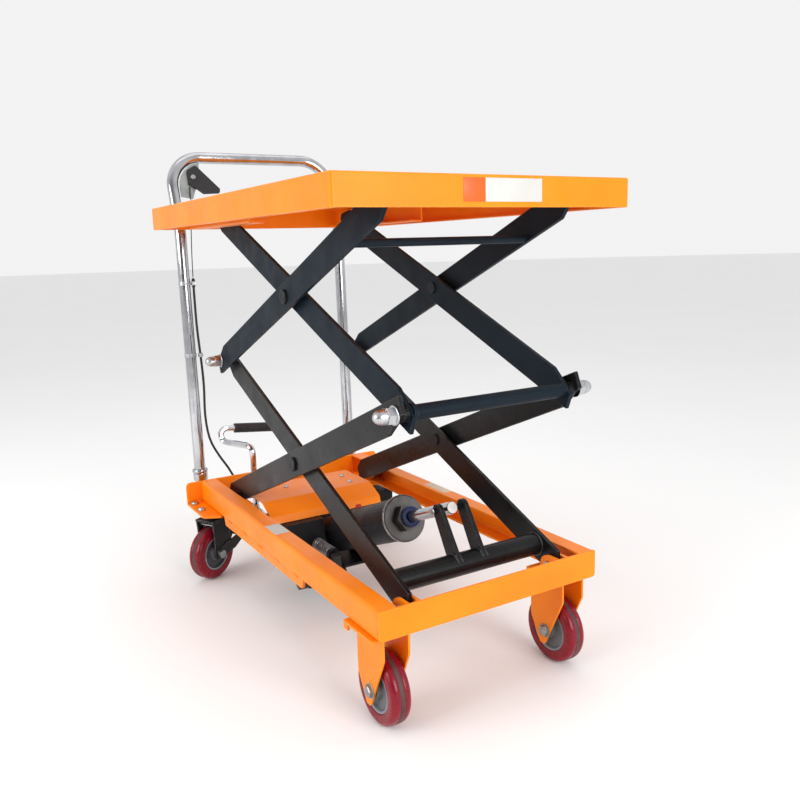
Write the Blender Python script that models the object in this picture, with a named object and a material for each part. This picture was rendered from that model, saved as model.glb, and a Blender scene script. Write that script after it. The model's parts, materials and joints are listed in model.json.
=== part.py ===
"""Manual double scissor lift table, modelled as an assembly of separate pieces.

Metres, +Z up, wheels standing on z = 0. +X is the end with the fixed wheels, -X the end with the push handle,
and -Y is the machine's right side. The linkage is drawn at one lift angle, which is the rest pose.
"""

import math

import bmesh
import bpy
from mathutils import Matrix, Vector

# Driving dimensions
GAP = 0.0003                     # clearance between pieces that touch
LIFT_ANGLE = math.radians(22.3)  # slope of the scissor arms
CROSS_TO_MID = 0.425             # from an arm's centre pin to its joint at mid height
CROSS_TO_END = 0.4056            # from an arm's centre pin to its base or platform hole
END_HOLE_OFFSET = 0.0088         # that hole's distance from the bar's centreline
BAR_HALF = 0.025                 # half the width of the flat-bar arms
FRONT_PIVOT_X = 0.4184           # hinge line of the base, and of the platform above it
BASE_PIVOT_Z = 0.200
PLATFORM_OVER_PIVOT = 0.0252     # platform surface above its hinge line

PLATFORM_LENGTH = 0.920
PLATFORM_WIDTH = 0.560
PLATFORM_RIM = 0.048
SHEET = 0.003

BASE_LOW = 0.1746                # underside of the base rails
BASE_HIGH = 0.2246
BASE_HALF_WIDTH = 0.2246
BASE_FRONT = 0.4509
BASE_REAR = -0.425
RAIL_WIDTH = 0.0356
RAIL_WALL = 0.004
FLANGE_LOW = 0.1696              # underside of the rear crossmember's flange

INNER_ARM = (0.1512, 0.1592)     # distances of the arms' faces from the centre plane
OUTER_ARM = (0.1705, 0.1785)
PIN_RADIUS = 0.008
BORE_RADIUS = 0.0085

WHEEL_RADIUS = 0.0625
TYRE_HALF = 0.0184
HUB_RADIUS = 0.041
FRONT_WHEEL = Vector((0.3902, 0.1853))
SWIVEL_AXIS = Vector((-0.380, 0.200))
CASTER_TRAIL = 0.0336
TRAIL_ANGLE = math.radians(60.0)

ROLLER_RADIUS = 0.0195
RAM_PIVOT = Vector((-0.135, 0.0, 0.130))
RAM_PIN = Vector((0.315, 0.0, 0.310))
BARREL_RADIUS = 0.0425
ROD_RADIUS = 0.011
HANDLE_HALF = 0.209
HANDLE_RADIUS = 0.0135

PEDAL_PIVOT = Vector((-0.008, -0.150, 0.090))
PLUNGER_Y = -0.070
PLUNGER_Z = 0.129
PLUNGER_FACE = -0.0195

MACHINE_SHIFT = 0.0521           # centres the whole machine's bounding box on the origin

FINISHES = {
    "orange_paint": ((1.0, 0.30, 0.012), 0.38, 0.0),
    "black_paint": ((0.012, 0.014, 0.017), 0.42, 0.0),
    "blue_black_paint": ((0.012, 0.024, 0.038), 0.40, 0.0),
    "chrome": ((0.74, 0.74, 0.76), 0.10, 1.0),
    "zinc": ((0.55, 0.56, 0.58), 0.32, 1.0),
    "grey_iron": ((0.20, 0.21, 0.22), 0.45, 0.7),
    "red_tyre": ((0.35, 0.006, 0.018), 0.32, 0.0),
    "black_rubber": ((0.010, 0.010, 0.011), 0.60, 0.0),
    "black_plastic": ((0.015, 0.015, 0.016), 0.50, 0.0),
    "red_plastic": ((0.60, 0.010, 0.010), 0.35, 0.0),
}

SIDES = (("right", -1.0), ("left", 1.0))

for leftover in list(bpy.data.objects):
    bpy.data.objects.remove(leftover)

machine = bpy.data.objects.new("machine", None)
machine.location = (MACHINE_SHIFT, 0.0, 0.0)
bpy.context.collection.objects.link(machine)


# Outlines and paths

def corner_arc(before, here, after, radius, steps):
    """The points that round the corner at here; the corner itself where the radius is zero."""
    if radius == 0.0:
        return [here]
    to_before = (before - here).normalized()
    to_after = (after - here).normalized()
    half = to_before.angle(to_after) / 2.0
    reach = radius / math.tan(half)
    centre = here + (to_before + to_after).normalized() * (radius / math.sin(half))
    start = here + to_before * reach - centre
    end = here + to_after * reach - centre
    sweep = start.angle(end)
    points = []
    for step in range(steps + 1):
        turned_by = sweep * step / steps
        blend = start * math.sin(sweep - turned_by) + end * math.sin(turned_by)
        points.append(centre + blend / math.sin(sweep))
    return points


def rounded(corners, radius, steps=4):
    """A closed outline with its corners rounded; radius is one value, or one for each corner."""
    radii = radius if isinstance(radius, (list, tuple)) else [radius] * len(corners)
    outline = []
    for index, size in enumerate(radii):
        before = Vector(corners[index - 1])
        after = Vector(corners[(index + 1) % len(corners)])
        outline.extend(corner_arc(before, Vector(corners[index]), after, size, steps))
    return outline


def bent_path(corners, radius, steps=6):
    """An open path through the corners of a bent bar, each inner one rounded."""
    path = [Vector(corners[0])]
    for index in range(1, len(corners) - 1):
        neighbours = [Vector(corners[index + offset]) for offset in (-1, 0, 1)]
        path.extend(corner_arc(*neighbours, radius, steps))
    path.append(Vector(corners[-1]))
    return path


def smooth_path(route, spacing):
    """Points a constant spacing apart, about, on the Catmull-Rom curve through the route's points."""
    knots = [Vector(point) for point in route]
    knots = [2 * knots[0] - knots[1]] + knots + [2 * knots[-1] - knots[-2]]
    path = []
    for p0, p1, p2, p3 in zip(knots, knots[1:], knots[2:], knots[3:]):
        steps = max(2, round((p2 - p1).length / spacing))
        for step in range(steps):
            t = step / steps
            path.append(0.5 * (2 * p1 + (p2 - p0) * t + (2 * p0 - 5 * p1 + 4 * p2 - p3) * t ** 2
                               + (3 * p1 - p0 - 3 * p2 + p3) * t ** 3))
    path.append(knots[-2])
    return path


def across(side, inner, outer):
    """The low and high y of a piece whose faces are inner and outer from the centre plane."""
    return min(side * inner, side * outer), max(side * inner, side * outer)


# Solids

def linked(name, mesh):
    """A new object in the scene with this mesh."""
    obj = bpy.data.objects.new(name, mesh)
    bpy.context.collection.objects.link(obj)
    return obj


def from_bmesh(name, shape):
    """A new object from a bmesh, which it uses up."""
    bmesh.ops.recalc_face_normals(shape, faces=shape.faces)
    mesh = bpy.data.meshes.new(name)
    shape.to_mesh(mesh)
    shape.free()
    return linked(name, mesh)


def plate(outline, axis, low, high, bevel=0.0):
    """A flat piece: an outline in the plane across the axis, from low to high along it."""
    shape = bmesh.new()
    corners = []
    for first, second in outline:
        place_at = {"X": (low, first, second), "Y": (first, low, second), "Z": (first, second, low)}
        corners.append(shape.verts.new(place_at[axis]))
    face = shape.faces.new(corners)
    extruded = bmesh.ops.extrude_face_region(shape, geom=[face])
    moved = [item for item in extruded["geom"] if isinstance(item, bmesh.types.BMVert)]
    along = {"X": (high - low, 0, 0), "Y": (0, high - low, 0), "Z": (0, 0, high - low)}
    bmesh.ops.translate(shape, verts=moved, vec=along[axis])
    if bevel:
        rims = [edge for edge in shape.edges if abs((edge.verts[0].co - edge.verts[1].co).dot(Vector(along[axis])))
                < 1e-9]
        bmesh.ops.bevel(shape, geom=rims, offset=bevel, segments=1, affect="EDGES", profile=0.5)
    return from_bmesh("plate", shape)


def block(low, high):
    """A rectangular block between two corners."""
    outline = [(low[0], low[1]), (high[0], low[1]), (high[0], high[1]), (low[0], high[1])]
    return plate(outline, "Z", low[2], high[2])


def turned(profile, origin, direction, sides, ring=False):
    """A turned piece: (along, radius) points spun about the axis, closed on itself where it is a ring."""
    shape = bmesh.new()
    points = [shape.verts.new((radius, 0.0, along)) for along, radius in profile]
    edges = [shape.edges.new(pair) for pair in zip(points, points[1:])]
    if ring:
        edges.append(shape.edges.new((points[-1], points[0])))
    bmesh.ops.spin(shape, geom=points + edges, cent=(0, 0, 0), axis=(0, 0, 1), angle=2 * math.pi,
                   steps=sides, use_merge=True)
    bmesh.ops.remove_doubles(shape, verts=shape.verts, dist=1e-6)
    turn = Vector(direction).to_track_quat("Z", "Y").to_matrix().to_4x4()
    bmesh.ops.transform(shape, matrix=Matrix.Translation(Vector(origin)) @ turn, verts=shape.verts)
    return from_bmesh("turned", shape)


def rod(start, end, radius, sides=12):
    """A plain round bar between two points."""
    direction = Vector(end) - Vector(start)
    length = direction.length
    return turned([(0.0, 0.0), (0.0, radius), (length, radius), (length, 0.0)], start, direction, sides)


def evaluated_mesh(obj):
    """The object's mesh as its modifiers or its curve settings make it."""
    return bpy.data.meshes.new_from_object(obj.evaluated_get(bpy.context.evaluated_depsgraph_get()))


def tube(path, radius, rings=2):
    """A round bar or cable that follows a path, with 4 + 2 * rings sides."""
    curve = bpy.data.curves.new("tube", "CURVE")
    curve.dimensions = "3D"
    curve.bevel_depth = radius
    curve.bevel_resolution = rings
    curve.use_fill_caps = True
    spline = curve.splines.new("POLY")
    spline.points.add(len(path) - 1)
    for point, place_at in zip(spline.points, path):
        point.co = (*place_at, 1.0)
    guide = linked("guide", curve)
    shape = bmesh.new()
    shape.from_mesh(evaluated_mesh(guide))
    bpy.data.objects.remove(guide)
    bmesh.ops.remove_doubles(shape, verts=shape.verts, dist=1e-6)
    return from_bmesh("tube", shape)


def combine(target, operation, tools):
    """Joins the tools to the target, or cuts them out of it, and uses them up."""
    for tool in tools:
        modifier = target.modifiers.new(operation.lower(), "BOOLEAN")
        modifier.operation = operation
        modifier.solver = "EXACT"
        modifier.object = tool
        mesh = evaluated_mesh(target)
        target.modifiers.clear()
        target.data = mesh
        bpy.data.objects.remove(tool)
    return target


def fuse(target, *tools):
    """One solid from pieces that are welded or cast together."""
    return combine(target, "UNION", tools)


def cut(target, *tools):
    """The target with the tools' shapes removed."""
    return combine(target, "DIFFERENCE", tools)


def node(obj, name, finish, pivot=(0.0, 0.0, 0.0)):
    """Names a finished piece, gives it its material and puts its origin on its pivot."""
    obj.name = name
    obj.data.name = name
    obj.data.transform(Matrix.Translation(-Vector(pivot)))
    obj.location = pivot
    obj.parent = machine
    color, roughness, metallic = FINISHES[finish]
    material = bpy.data.materials.new(f"{name}_{finish}")
    material.use_nodes = True
    surface = material.node_tree.nodes["Principled BSDF"]
    surface.inputs["Base Color"].default_value = (*color, 1.0)
    surface.inputs["Roughness"].default_value = roughness
    surface.inputs["Metallic"].default_value = metallic
    obj.data.materials.clear()
    obj.data.materials.append(material)
    obj.data.shade_smooth()
    obj.data.set_sharp_from_angle(angle=math.radians(35.0))
    return obj


def hexagon(centre, across_flats, turn=0.0):
    """The outline of a nut or a bolt head."""
    reach = across_flats / math.sqrt(3.0)
    angles = [turn + math.radians(60.0 * index) for index in range(6)]
    return [(centre[0] + reach * math.cos(a), centre[1] + reach * math.sin(a)) for a in angles]


# The linkage's joints, in the x-z plane

class Bar:
    """One scissor arm's frame: u runs from its centre pin to its base or platform end, v is up across it."""

    def __init__(self, cross, slope, forward):
        self.cross = cross
        self.along = Vector((forward * math.cos(slope), math.sin(slope)))
        self.up = Vector((-forward * math.sin(slope), math.cos(slope)))

    def at(self, u, v=0.0):
        return self.cross + self.along * u + self.up * v

    def outline(self, corners):
        return [self.at(u, v) for u, v in corners]


def raised(point, y=0.0):
    """An x-z point as a point in space."""
    return Vector((point[0], y, point[1]))


base_pivot = Vector((FRONT_PIVOT_X, BASE_PIVOT_Z))
lower_inner = Bar(Vector((0.0, 0.0)), -LIFT_ANGLE, 1.0)
lower_cross = base_pivot - lower_inner.at(CROSS_TO_END, -END_HOLE_OFFSET)
lower_inner.cross = lower_cross
lower_outer = Bar(lower_cross, -LIFT_ANGLE, -1.0)
base_roller = lower_outer.at(CROSS_TO_END, -END_HOLE_OFFSET)
mid_front = lower_outer.at(-CROSS_TO_MID)
mid_rear = lower_inner.at(-CROSS_TO_MID)
upper_cross = Vector((lower_cross.x, 2.0 * mid_front.y - lower_cross.y))
upper_inner = Bar(upper_cross, LIFT_ANGLE, -1.0)
upper_outer = Bar(upper_cross, LIFT_ANGLE, 1.0)
platform_pivot = upper_outer.at(CROSS_TO_END, END_HOLE_OFFSET)
platform_roller = upper_inner.at(CROSS_TO_END, END_HOLE_OFFSET)
platform_top = platform_pivot.y + PLATFORM_OVER_PIVOT
rim_bottom = platform_top - PLATFORM_RIM
pan_under = platform_top - SHEET


# Base frame

def base_rail(name, side):
    """An inward-facing channel, in which the lower rollers run, with a stiffening strip welded under it."""
    inner = side * (BASE_HALF_WIDTH - RAIL_WIDTH)
    outer = side * BASE_HALF_WIDTH
    web = side * (BASE_HALF_WIDTH - RAIL_WALL)
    section = rounded([(inner, BASE_LOW), (outer, BASE_LOW), (outer, BASE_HIGH), (inner, BASE_HIGH),
                       (inner, BASE_HIGH - RAIL_WALL), (web, BASE_HIGH - RAIL_WALL),
                       (web, BASE_LOW + RAIL_WALL), (inner, BASE_LOW + RAIL_WALL)],
                      [0.0, 0.006, 0.007, 0.0, 0.0, 0.003, 0.003, 0.0])
    rail = plate(section, "X", BASE_REAR + 0.005 + GAP, BASE_FRONT - 0.005 - GAP)
    strip_low = BASE_LOW - 0.0176
    strip_high = BASE_LOW + 0.002
    strip = plate([(-0.270, strip_high), (-0.262, strip_low), (0.157, strip_low), (0.165, strip_high)],
                  "Y", *across(side, 0.2165, 0.2222))
    return node(fuse(rail, strip), name, "orange_paint")


def pivot_lug(y_low, y_high):
    """An ear welded inside the front crossmember, with the hole for an inner arm's pin."""
    root = BASE_FRONT - 0.004
    radius = 0.0215
    pivot = base_pivot
    ear = plate(rounded([(pivot.x - radius, BASE_LOW), (root, BASE_LOW), (root, pivot.y + radius),
                         (pivot.x - radius, pivot.y + radius)], [0.0, 0.0, 0.004, 0.020]),
                "Y", y_low, y_high)
    return cut(ear, rod(raised(pivot, y_low - 0.01), raised(pivot, y_high + 0.01), BORE_RADIUS))


def front_crossmember():
    """The front plate with its bottom flange and the four ears that carry the inner arms."""
    edge = BASE_HALF_WIDTH
    face = rounded([(-edge, BASE_LOW), (edge, BASE_LOW), (edge, BASE_HIGH), (-edge, BASE_HIGH)],
                   [0.006, 0.006, 0.003, 0.003])
    body = plate(face, "X", BASE_FRONT - 0.005, BASE_FRONT, bevel=0.0008)
    flange = block((0.412, -0.138, BASE_LOW), (BASE_FRONT - 0.003, 0.138, BASE_LOW + 0.004))
    ears = []
    for _, side in SIDES:
        ears.append(pivot_lug(*across(side, 0.1420, 0.1480)))
        ears.append(pivot_lug(*across(side, 0.1625, 0.1685)))
    return node(fuse(body, flange, *ears), "front_crossmember", "orange_paint")


CASTER_BOLTS = ((-0.0285, 0.0480), (0.0270, 0.0480), (-0.0285, -0.0450), (0.0270, -0.0450))
CABLE_HOLE = Vector((BASE_REAR, -0.131, 0.200))


def rear_crossmember():
    """The rear plate, with the flanges that carry the casters and the feet of the handle."""
    wide = 0.262
    face = rounded([(-wide, FLANGE_LOW), (wide, FLANGE_LOW), (wide, BASE_HIGH), (-wide, BASE_HIGH)],
                   [0.0, 0.0, 0.010, 0.010])
    body = plate(face, "X", BASE_REAR, BASE_REAR + 0.005, bevel=0.0008)
    body = cut(body, rod(CABLE_HOLE - Vector((0.01, 0, 0)), CABLE_HOLE + Vector((0.015, 0, 0)), 0.005, 12))
    top = BASE_LOW - GAP
    for _, side in SIDES:
        flange = plate(rounded([(BASE_REAR + 0.001, side * 0.130), (-0.322, side * 0.130), (-0.282, side * 0.226),
                                (-0.302, side * wide), (BASE_REAR + 0.001, side * wide)],
                               [0.0, 0.010, 0.006, 0.016, 0.0]),
                       "Z", FLANGE_LOW, top)
        for ahead, outward in CASTER_BOLTS:
            spot = Vector((SWIVEL_AXIS.x + ahead, side * (SWIVEL_AXIS.y + outward), 0.0))
            flange = cut(flange, rod(spot + Vector((0, 0, 0.16)), spot + Vector((0, 0, 0.19)), 0.0045, 12))
        foot = plate(rounded([(-0.503, side * 0.178), (BASE_REAR + 0.003, side * 0.168),
                              (BASE_REAR + 0.003, side * 0.250), (-0.503, side * 0.240)],
                             [0.012, 0.0, 0.0, 0.012]),
                     "Z", FLANGE_LOW, top)
        body = fuse(body, flange, foot)
    return node(body, "rear_crossmember", "orange_paint")


def front_fork(name, side):
    """A fixed wheel's fork: a plate under the rail with two tapered legs and the axle bolt."""
    centre_x, centre_y = FRONT_WHEEL
    top = BASE_LOW - GAP
    deck = block((0.344, min(side * 0.154, side * 0.2315), FLANGE_LOW),
                 (0.441, max(side * 0.154, side * 0.2315), top))
    lip = block((0.344, min(side * 0.2275, side * 0.2315), FLANGE_LOW - 0.010),
                (0.358, max(side * 0.2275, side * 0.2315), FLANGE_LOW + 0.002))
    leg = rounded([(0.350, FLANGE_LOW + 0.002), (0.350, 0.082), (0.376, 0.034), (0.389, 0.034), (0.436, 0.132),
                   (0.436, FLANGE_LOW + 0.002)], [0.0, 0.010, 0.006, 0.006, 0.010, 0.0])
    inner_leg = plate(leg, "Y", *across(side, 0.1600, 0.1640), bevel=0.0006)
    outer_leg = plate(leg, "Y", *across(side, 0.2070, 0.2110), bevel=0.0006)
    axle = rod((centre_x, side * 0.154, WHEEL_RADIUS), (centre_x, side * 0.214, WHEEL_RADIUS), 0.006)
    head = plate(hexagon((centre_x, WHEEL_RADIUS), 0.018, 0.3), "Y", *across(side, 0.2105, 0.2175))
    nut = plate(hexagon((centre_x, WHEEL_RADIUS), 0.018, 0.1), "Y", *across(side, 0.1535, 0.1605))
    return node(fuse(deck, lip, inner_leg, outer_leg, axle, head, nut), name, "orange_paint")


def through_pin(name, pivot, start, end, side):
    """A hinge pin with a round head at each end, between two distances from the centre plane."""
    head = 0.003
    profile = [(0.0, 0.0), (0.0, PIN_RADIUS + 0.003), (head, PIN_RADIUS + 0.004), (head, PIN_RADIUS - GAP),
               (end - start - head, PIN_RADIUS - GAP), (end - start - head, PIN_RADIUS + 0.004),
               (end - start, PIN_RADIUS + 0.003), (end - start, 0.0)]
    return node(turned(profile, raised(pivot, side * start), (0.0, side, 0.0), 12), name, "zinc", raised(pivot))


# Wheels

def tyre(name, centre, axle):
    """A polyurethane tread with rounded shoulders."""
    half = TYRE_HALF
    section = rounded([(-half, HUB_RADIUS), (-half, WHEEL_RADIUS), (half, WHEEL_RADIUS), (half, HUB_RADIUS)],
                      [0.0, 0.009, 0.009, 0.0], steps=1)
    return node(turned(section, centre, axle, 24, ring=True), name, "red_tyre", centre)


def hub(name, centre, axle):
    """A cast wheel centre: rim, thin web and bored boss."""
    half_rim = TYRE_HALF - 0.0015
    half_boss = 0.0205
    section = [(-half_rim, HUB_RADIUS - 4 * GAP), (half_rim, HUB_RADIUS - 4 * GAP), (0.0050, 0.0345),
               (half_boss, 0.0150), (half_boss, 0.0068), (-half_boss, 0.0068), (-half_boss, 0.0150),
               (-0.0050, 0.0345)]
    return node(turned(section, centre, axle, 24, ring=True), name, "grey_iron", centre)


def caster_plate(name, side):
    """The caster's fixed top plate, its four bolts through the flange, and its kingpin bearing."""
    axis = Vector((SWIVEL_AXIS.x, side * SWIVEL_AXIS.y, 0.0))
    low, high = FLANGE_LOW - GAP - 0.0045, FLANGE_LOW - GAP
    body = plate(rounded([(axis.x - 0.042, axis.y - 0.0565), (axis.x + 0.042, axis.y - 0.0565),
                          (axis.x + 0.042, axis.y + 0.0565), (axis.x - 0.042, axis.y + 0.0565)], 0.006), "Z", low, high)
    bearing = turned([(0.0, 0.0), (0.0, 0.024), (0.006, 0.027), (0.006, 0.0)], (*axis.xy, low - 0.0055),
                     (0, 0, 1), 16)
    parts = [bearing]
    for ahead, outward in CASTER_BOLTS:
        spot = (axis.x + ahead, side * (SWIVEL_AXIS.y + outward))
        parts.append(turned([(0.0, 0.0), (0.0, 0.0040), (0.0081, 0.0040), (0.0081, 0.0072), (0.0116, 0.0066),
                             (0.0136, 0.0)], (*spot, FLANGE_LOW - 0.003), (0, 0, 1), 10))
    return node(fuse(body, *parts), name, "black_paint", (*axis.xy, high))


class CasterFrame:
    """A caster's own axes: x along its trail, y along its axle."""

    def __init__(self, side):
        self.origin = Vector((SWIVEL_AXIS.x, side * SWIVEL_AXIS.y, 0.0))
        self.turn = side * TRAIL_ANGLE
        self.trail = Vector((math.cos(self.turn), math.sin(self.turn), 0.0))
        self.axle = Vector((-math.sin(self.turn), math.cos(self.turn), 0.0)) * -side
        self.wheel = self.origin + self.trail * CASTER_TRAIL + Vector((0.0, 0.0, WHEEL_RADIUS))

    def put(self, obj):
        obj.data.transform(Matrix.Translation(self.origin) @ Matrix.Rotation(self.turn, 4, "Z"))
        return obj


def caster_yoke(name, frame):
    """The swivelling black fork with its two legs and axle bolt."""
    leg = rounded([(-0.030, 0.144), (-0.030, 0.118), (0.018, 0.048), (0.049, 0.048), (0.049, 0.115),
                   (0.052, 0.144)], [0.0, 0.012, 0.008, 0.010, 0.012, 0.0], 2)
    crown = block((-0.0305, -0.0270, 0.1415), (0.0525, 0.0270, 0.1460))
    race = turned([(0.0, 0.0), (0.0, 0.029), (0.009, 0.029), (0.0125, 0.025), (0.0125, 0.0)], (0, 0, 0.1455),
                  (0, 0, 1), 20)
    legs = [plate(leg, "Y", *across(side, 0.0225, 0.0265), bevel=0.0006) for _, side in SIDES]
    axle_at = Vector((CASTER_TRAIL, 0.0, WHEEL_RADIUS))
    axle = rod(axle_at - Vector((0, 0.034, 0)), axle_at + Vector((0, 0.034, 0)), 0.006)
    ends = [plate(hexagon((CASTER_TRAIL, WHEEL_RADIUS), 0.016), "Y", *across(side, 0.0303, 0.0358))
            for _, side in SIDES]
    return node(frame.put(fuse(crown, race, *legs, axle, *ends)), name, "black_paint", frame.origin)


def caster_brake(name, frame):
    """The total-lock brake: two cheeks hung on the axle and a foot plate ahead of the swivel."""
    axle_x, axle_z = CASTER_TRAIL, WHEEL_RADIUS
    cheek = rounded([(axle_x + 0.011, axle_z - 0.012), (axle_x + 0.011, axle_z + 0.012), (-0.030, 0.092),
                     (-0.052, 0.089), (-0.052, 0.080), (-0.020, 0.062), (axle_x - 0.008, axle_z - 0.012)],
                    [0.010, 0.010, 0.004, 0.003, 0.003, 0.010, 0.008], 2)
    bore = rod((axle_x, -0.05, axle_z), (axle_x, 0.05, axle_z), 0.0066)
    sides = [plate(cheek, "Y", *across(side, 0.0268, 0.0298)) for _, side in SIDES]
    foot = plate(rounded([(-0.036, 0.0895), (-0.0705, 0.0830), (-0.0700, 0.0795), (-0.036, 0.0860)], 0.0), "Y",
                 -0.0290, 0.0290)
    body = cut(fuse(foot, *sides), bore)
    return node(frame.put(body), name, "black_paint", frame.wheel)


# Scissor linkage

def arm_outline(bar, kind):
    """The shape of a flat-bar arm; its ends are cropped to clear the frames that it folds into."""
    w = BAR_HALF
    low_mid = [(-0.445, w), (-0.445, w - 0.029), (-0.390, -w)]
    high_mid = [(-0.390, w), (-0.445, -w + 0.029), (-0.445, -w)]
    ends = {
        "base_hinge": low_mid + [(0.4196, -w), (0.4196, -0.010), (CROSS_TO_END, w)],
        "base_roller": low_mid + [(0.4196, -w), (0.4326, -0.015), (0.4326, 0.009), (CROSS_TO_END, w)],
        "platform_roller": high_mid + [(CROSS_TO_END, -w), (0.4326, -0.009), (0.4326, 0.005), (0.4026, w)],
        "platform_hinge": high_mid + [(0.3846, -w), (0.4196, -0.005), (0.4196, 0.017), (0.4116, w)],
    }
    return bar.outline(ends[kind])


def arm(bar, kind, y_range, side):
    """One arm, with its centre hole and its hole at mid height."""
    flat = plate(arm_outline(bar, kind), "Y", *across(side, *y_range), bevel=0.0008)
    holes = [bar.at(0.0), bar.at(-CROSS_TO_MID)]
    if kind == "base_hinge":
        holes.append(bar.at(CROSS_TO_END, -END_HOLE_OFFSET))
    if kind == "platform_hinge":
        holes.append(bar.at(CROSS_TO_END, END_HOLE_OFFSET))
    drills = [rod(raised(hole, side * 0.13), raised(hole, side * 0.20), BORE_RADIUS) for hole in holes]
    return cut(flat, *drills)


def roller_stud(spot, inner, outer, side):
    """The stub on which a roller turns, welded to its arm."""
    return rod(raised(spot, side * inner), raised(spot, side * outer), 0.0075)


def lower_inner_frame():
    """The two inner arms that hinge on the base, the tube between them and the ram's two lugs."""
    arms = [arm(lower_inner, "base_hinge", INNER_ARM, side) for _, side in SIDES]
    centre = Vector((0.372, 0.2285))
    reach = INNER_ARM[0] + 0.003
    body = rod(raised(centre, -reach), raised(centre, reach), 0.020, 24)
    pin = RAM_PIN.xz
    lug = rounded([(centre.x - 0.019, centre.y + 0.004), (pin.x - 0.015, pin.y + 0.015),
                   (pin.x + 0.015, pin.y + 0.015), (centre.x + 0.019, centre.y + 0.006)],
                  [0.0, 0.012, 0.014, 0.0], 3)
    lugs = [plate(lug, "Y", *across(side, 0.022, 0.030), bevel=0.0006) for _, side in SIDES]
    stubs = [rod(raised(pin, side * 0.0135), raised(pin, side * 0.0335), 0.0055) for _, side in SIDES]
    return node(fuse(body, *arms, *lugs, *stubs), "lower_inner_frame", "blue_black_paint", raised(base_pivot))


def lower_outer_arm(name, side):
    """A lower outer arm with the stud of its base roller."""
    stud = roller_stud(base_roller, OUTER_ARM[1] - 0.004, 0.2185, side)
    body = fuse(arm(lower_outer, "base_roller", OUTER_ARM, side), stud)
    return node(body, name, "blue_black_paint", raised(lower_cross))


def upper_inner_frame():
    """The two inner upper arms with the tube at their front joint and the platform rollers' studs."""
    arms = [arm(upper_inner, "platform_roller", INNER_ARM, side) for _, side in SIDES]
    studs = [roller_stud(platform_roller, INNER_ARM[1] - 0.004, 0.1945, side) for _, side in SIDES]
    reach = INNER_ARM[0] + 0.003
    sleeve = turned([(-reach, BORE_RADIUS), (reach, BORE_RADIUS), (reach, 0.0125), (-reach, 0.0125)],
                    raised(mid_front), (0, 1, 0), 16, ring=True)
    collars = [turned([(0.0, BORE_RADIUS + 0.001), (0.0, 0.0165), (0.006, 0.0165), (0.011, BORE_RADIUS + 0.001)],
                      raised(mid_front, side * (INNER_ARM[0] + 0.001)), (0, -side, 0), 16, ring=True)
               for _, side in SIDES]
    return node(fuse(sleeve, *arms, *collars, *studs), "upper_inner_frame", "blue_black_paint", raised(upper_cross))


def upper_outer_frame():
    """The two outer upper arms, which hinge on the platform, tied by a round bar."""
    arms = [arm(upper_outer, "platform_hinge", OUTER_ARM, side) for _, side in SIDES]
    spot = upper_outer.at(0.2847, -0.0172)
    reach = OUTER_ARM[0] + 0.003
    tie = rod(raised(spot, -reach), raised(spot, reach), 0.007)
    return node(fuse(tie, *arms), "upper_outer_frame", "blue_black_paint", raised(mid_rear))


def acorn_nut(spot, side, start):
    """A domed nut outside an arm, from its washer to the tip of its dome."""
    washer = turned([(0.0, 0.0), (0.0, 0.0150), (0.0022, 0.0150), (0.0022, 0.0)], raised(spot, side * start),
                    (0, side, 0), 16)
    flats = plate(hexagon(spot, 0.024, 0.2), "Y", *across(side, start + 0.0018, start + 0.0165))
    dome = [(0.0, 0.0), (0.0, 0.0115)]
    steps = 3
    for step in range(1, steps + 1):
        angle = math.pi / 2 * step / steps
        dome.append((0.0075 + 0.0138 * math.sin(angle), 0.0112 * math.cos(angle)))
    cap = turned(dome, raised(spot, side * (start + 0.0150)), (0, side, 0), 16)
    return [washer, flats, cap]


def mid_front_axle():
    """The axle at the front mid joint, right across the machine, with an acorn nut at each end."""
    reach = OUTER_ARM[1] + 0.006
    body = rod(raised(mid_front, -reach), raised(mid_front, reach), PIN_RADIUS)
    ends = []
    for _, side in SIDES:
        ends += acorn_nut(mid_front, side, OUTER_ARM[1] + GAP)
        ends.append(spacer(mid_front, side))
    return node(fuse(body, *ends), "mid_front_axle", "zinc", raised(mid_front))


def spacer(spot, side):
    """The washer pack between an inner and an outer arm."""
    start = INNER_ARM[1] + GAP
    width = OUTER_ARM[0] - GAP - start
    return turned([(0.0, 0.0), (0.0, 0.0125), (width, 0.0125), (width, 0.0)], raised(spot, side * start),
                  (0, side, 0), 16)


def mid_rear_bolt(name, side):
    """The bolt of a rear mid joint, with its head inside and an acorn nut outside."""
    inner = INNER_ARM[0] - GAP
    body = rod(raised(mid_rear, side * (inner - 0.003)), raised(mid_rear, side * (OUTER_ARM[1] + 0.006)),
               PIN_RADIUS)
    head = plate(hexagon(mid_rear, 0.024), "Y", *across(side, inner - 0.0075, inner))
    nut = acorn_nut(mid_rear, side, OUTER_ARM[1] + GAP)
    return node(fuse(body, head, spacer(mid_rear, side), *nut), name, "zinc", raised(mid_rear))


def centre_pin(name, cross, side):
    """The pin at an arm crossing, with a flat head outside and a circlip collar inside."""
    start = INNER_ARM[0] - GAP - 0.003
    end = OUTER_ARM[1] + GAP + 0.004
    gap_start = INNER_ARM[1] + GAP - start
    gap_end = OUTER_ARM[0] - GAP - start
    length = end - start
    profile = [(0.0, 0.0), (0.0, 0.012), (0.003, 0.012), (0.003, PIN_RADIUS), (gap_start, PIN_RADIUS),
               (gap_start, 0.0125), (gap_end, 0.0125), (gap_end, PIN_RADIUS), (length - 0.004, PIN_RADIUS),
               (length - 0.004, 0.013), (length - 0.0015, 0.013), (length, 0.0105), (length, 0.0)]
    return node(turned(profile, raised(cross, side * start), (0, side, 0), 12), name, "black_paint", raised(cross))


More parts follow.
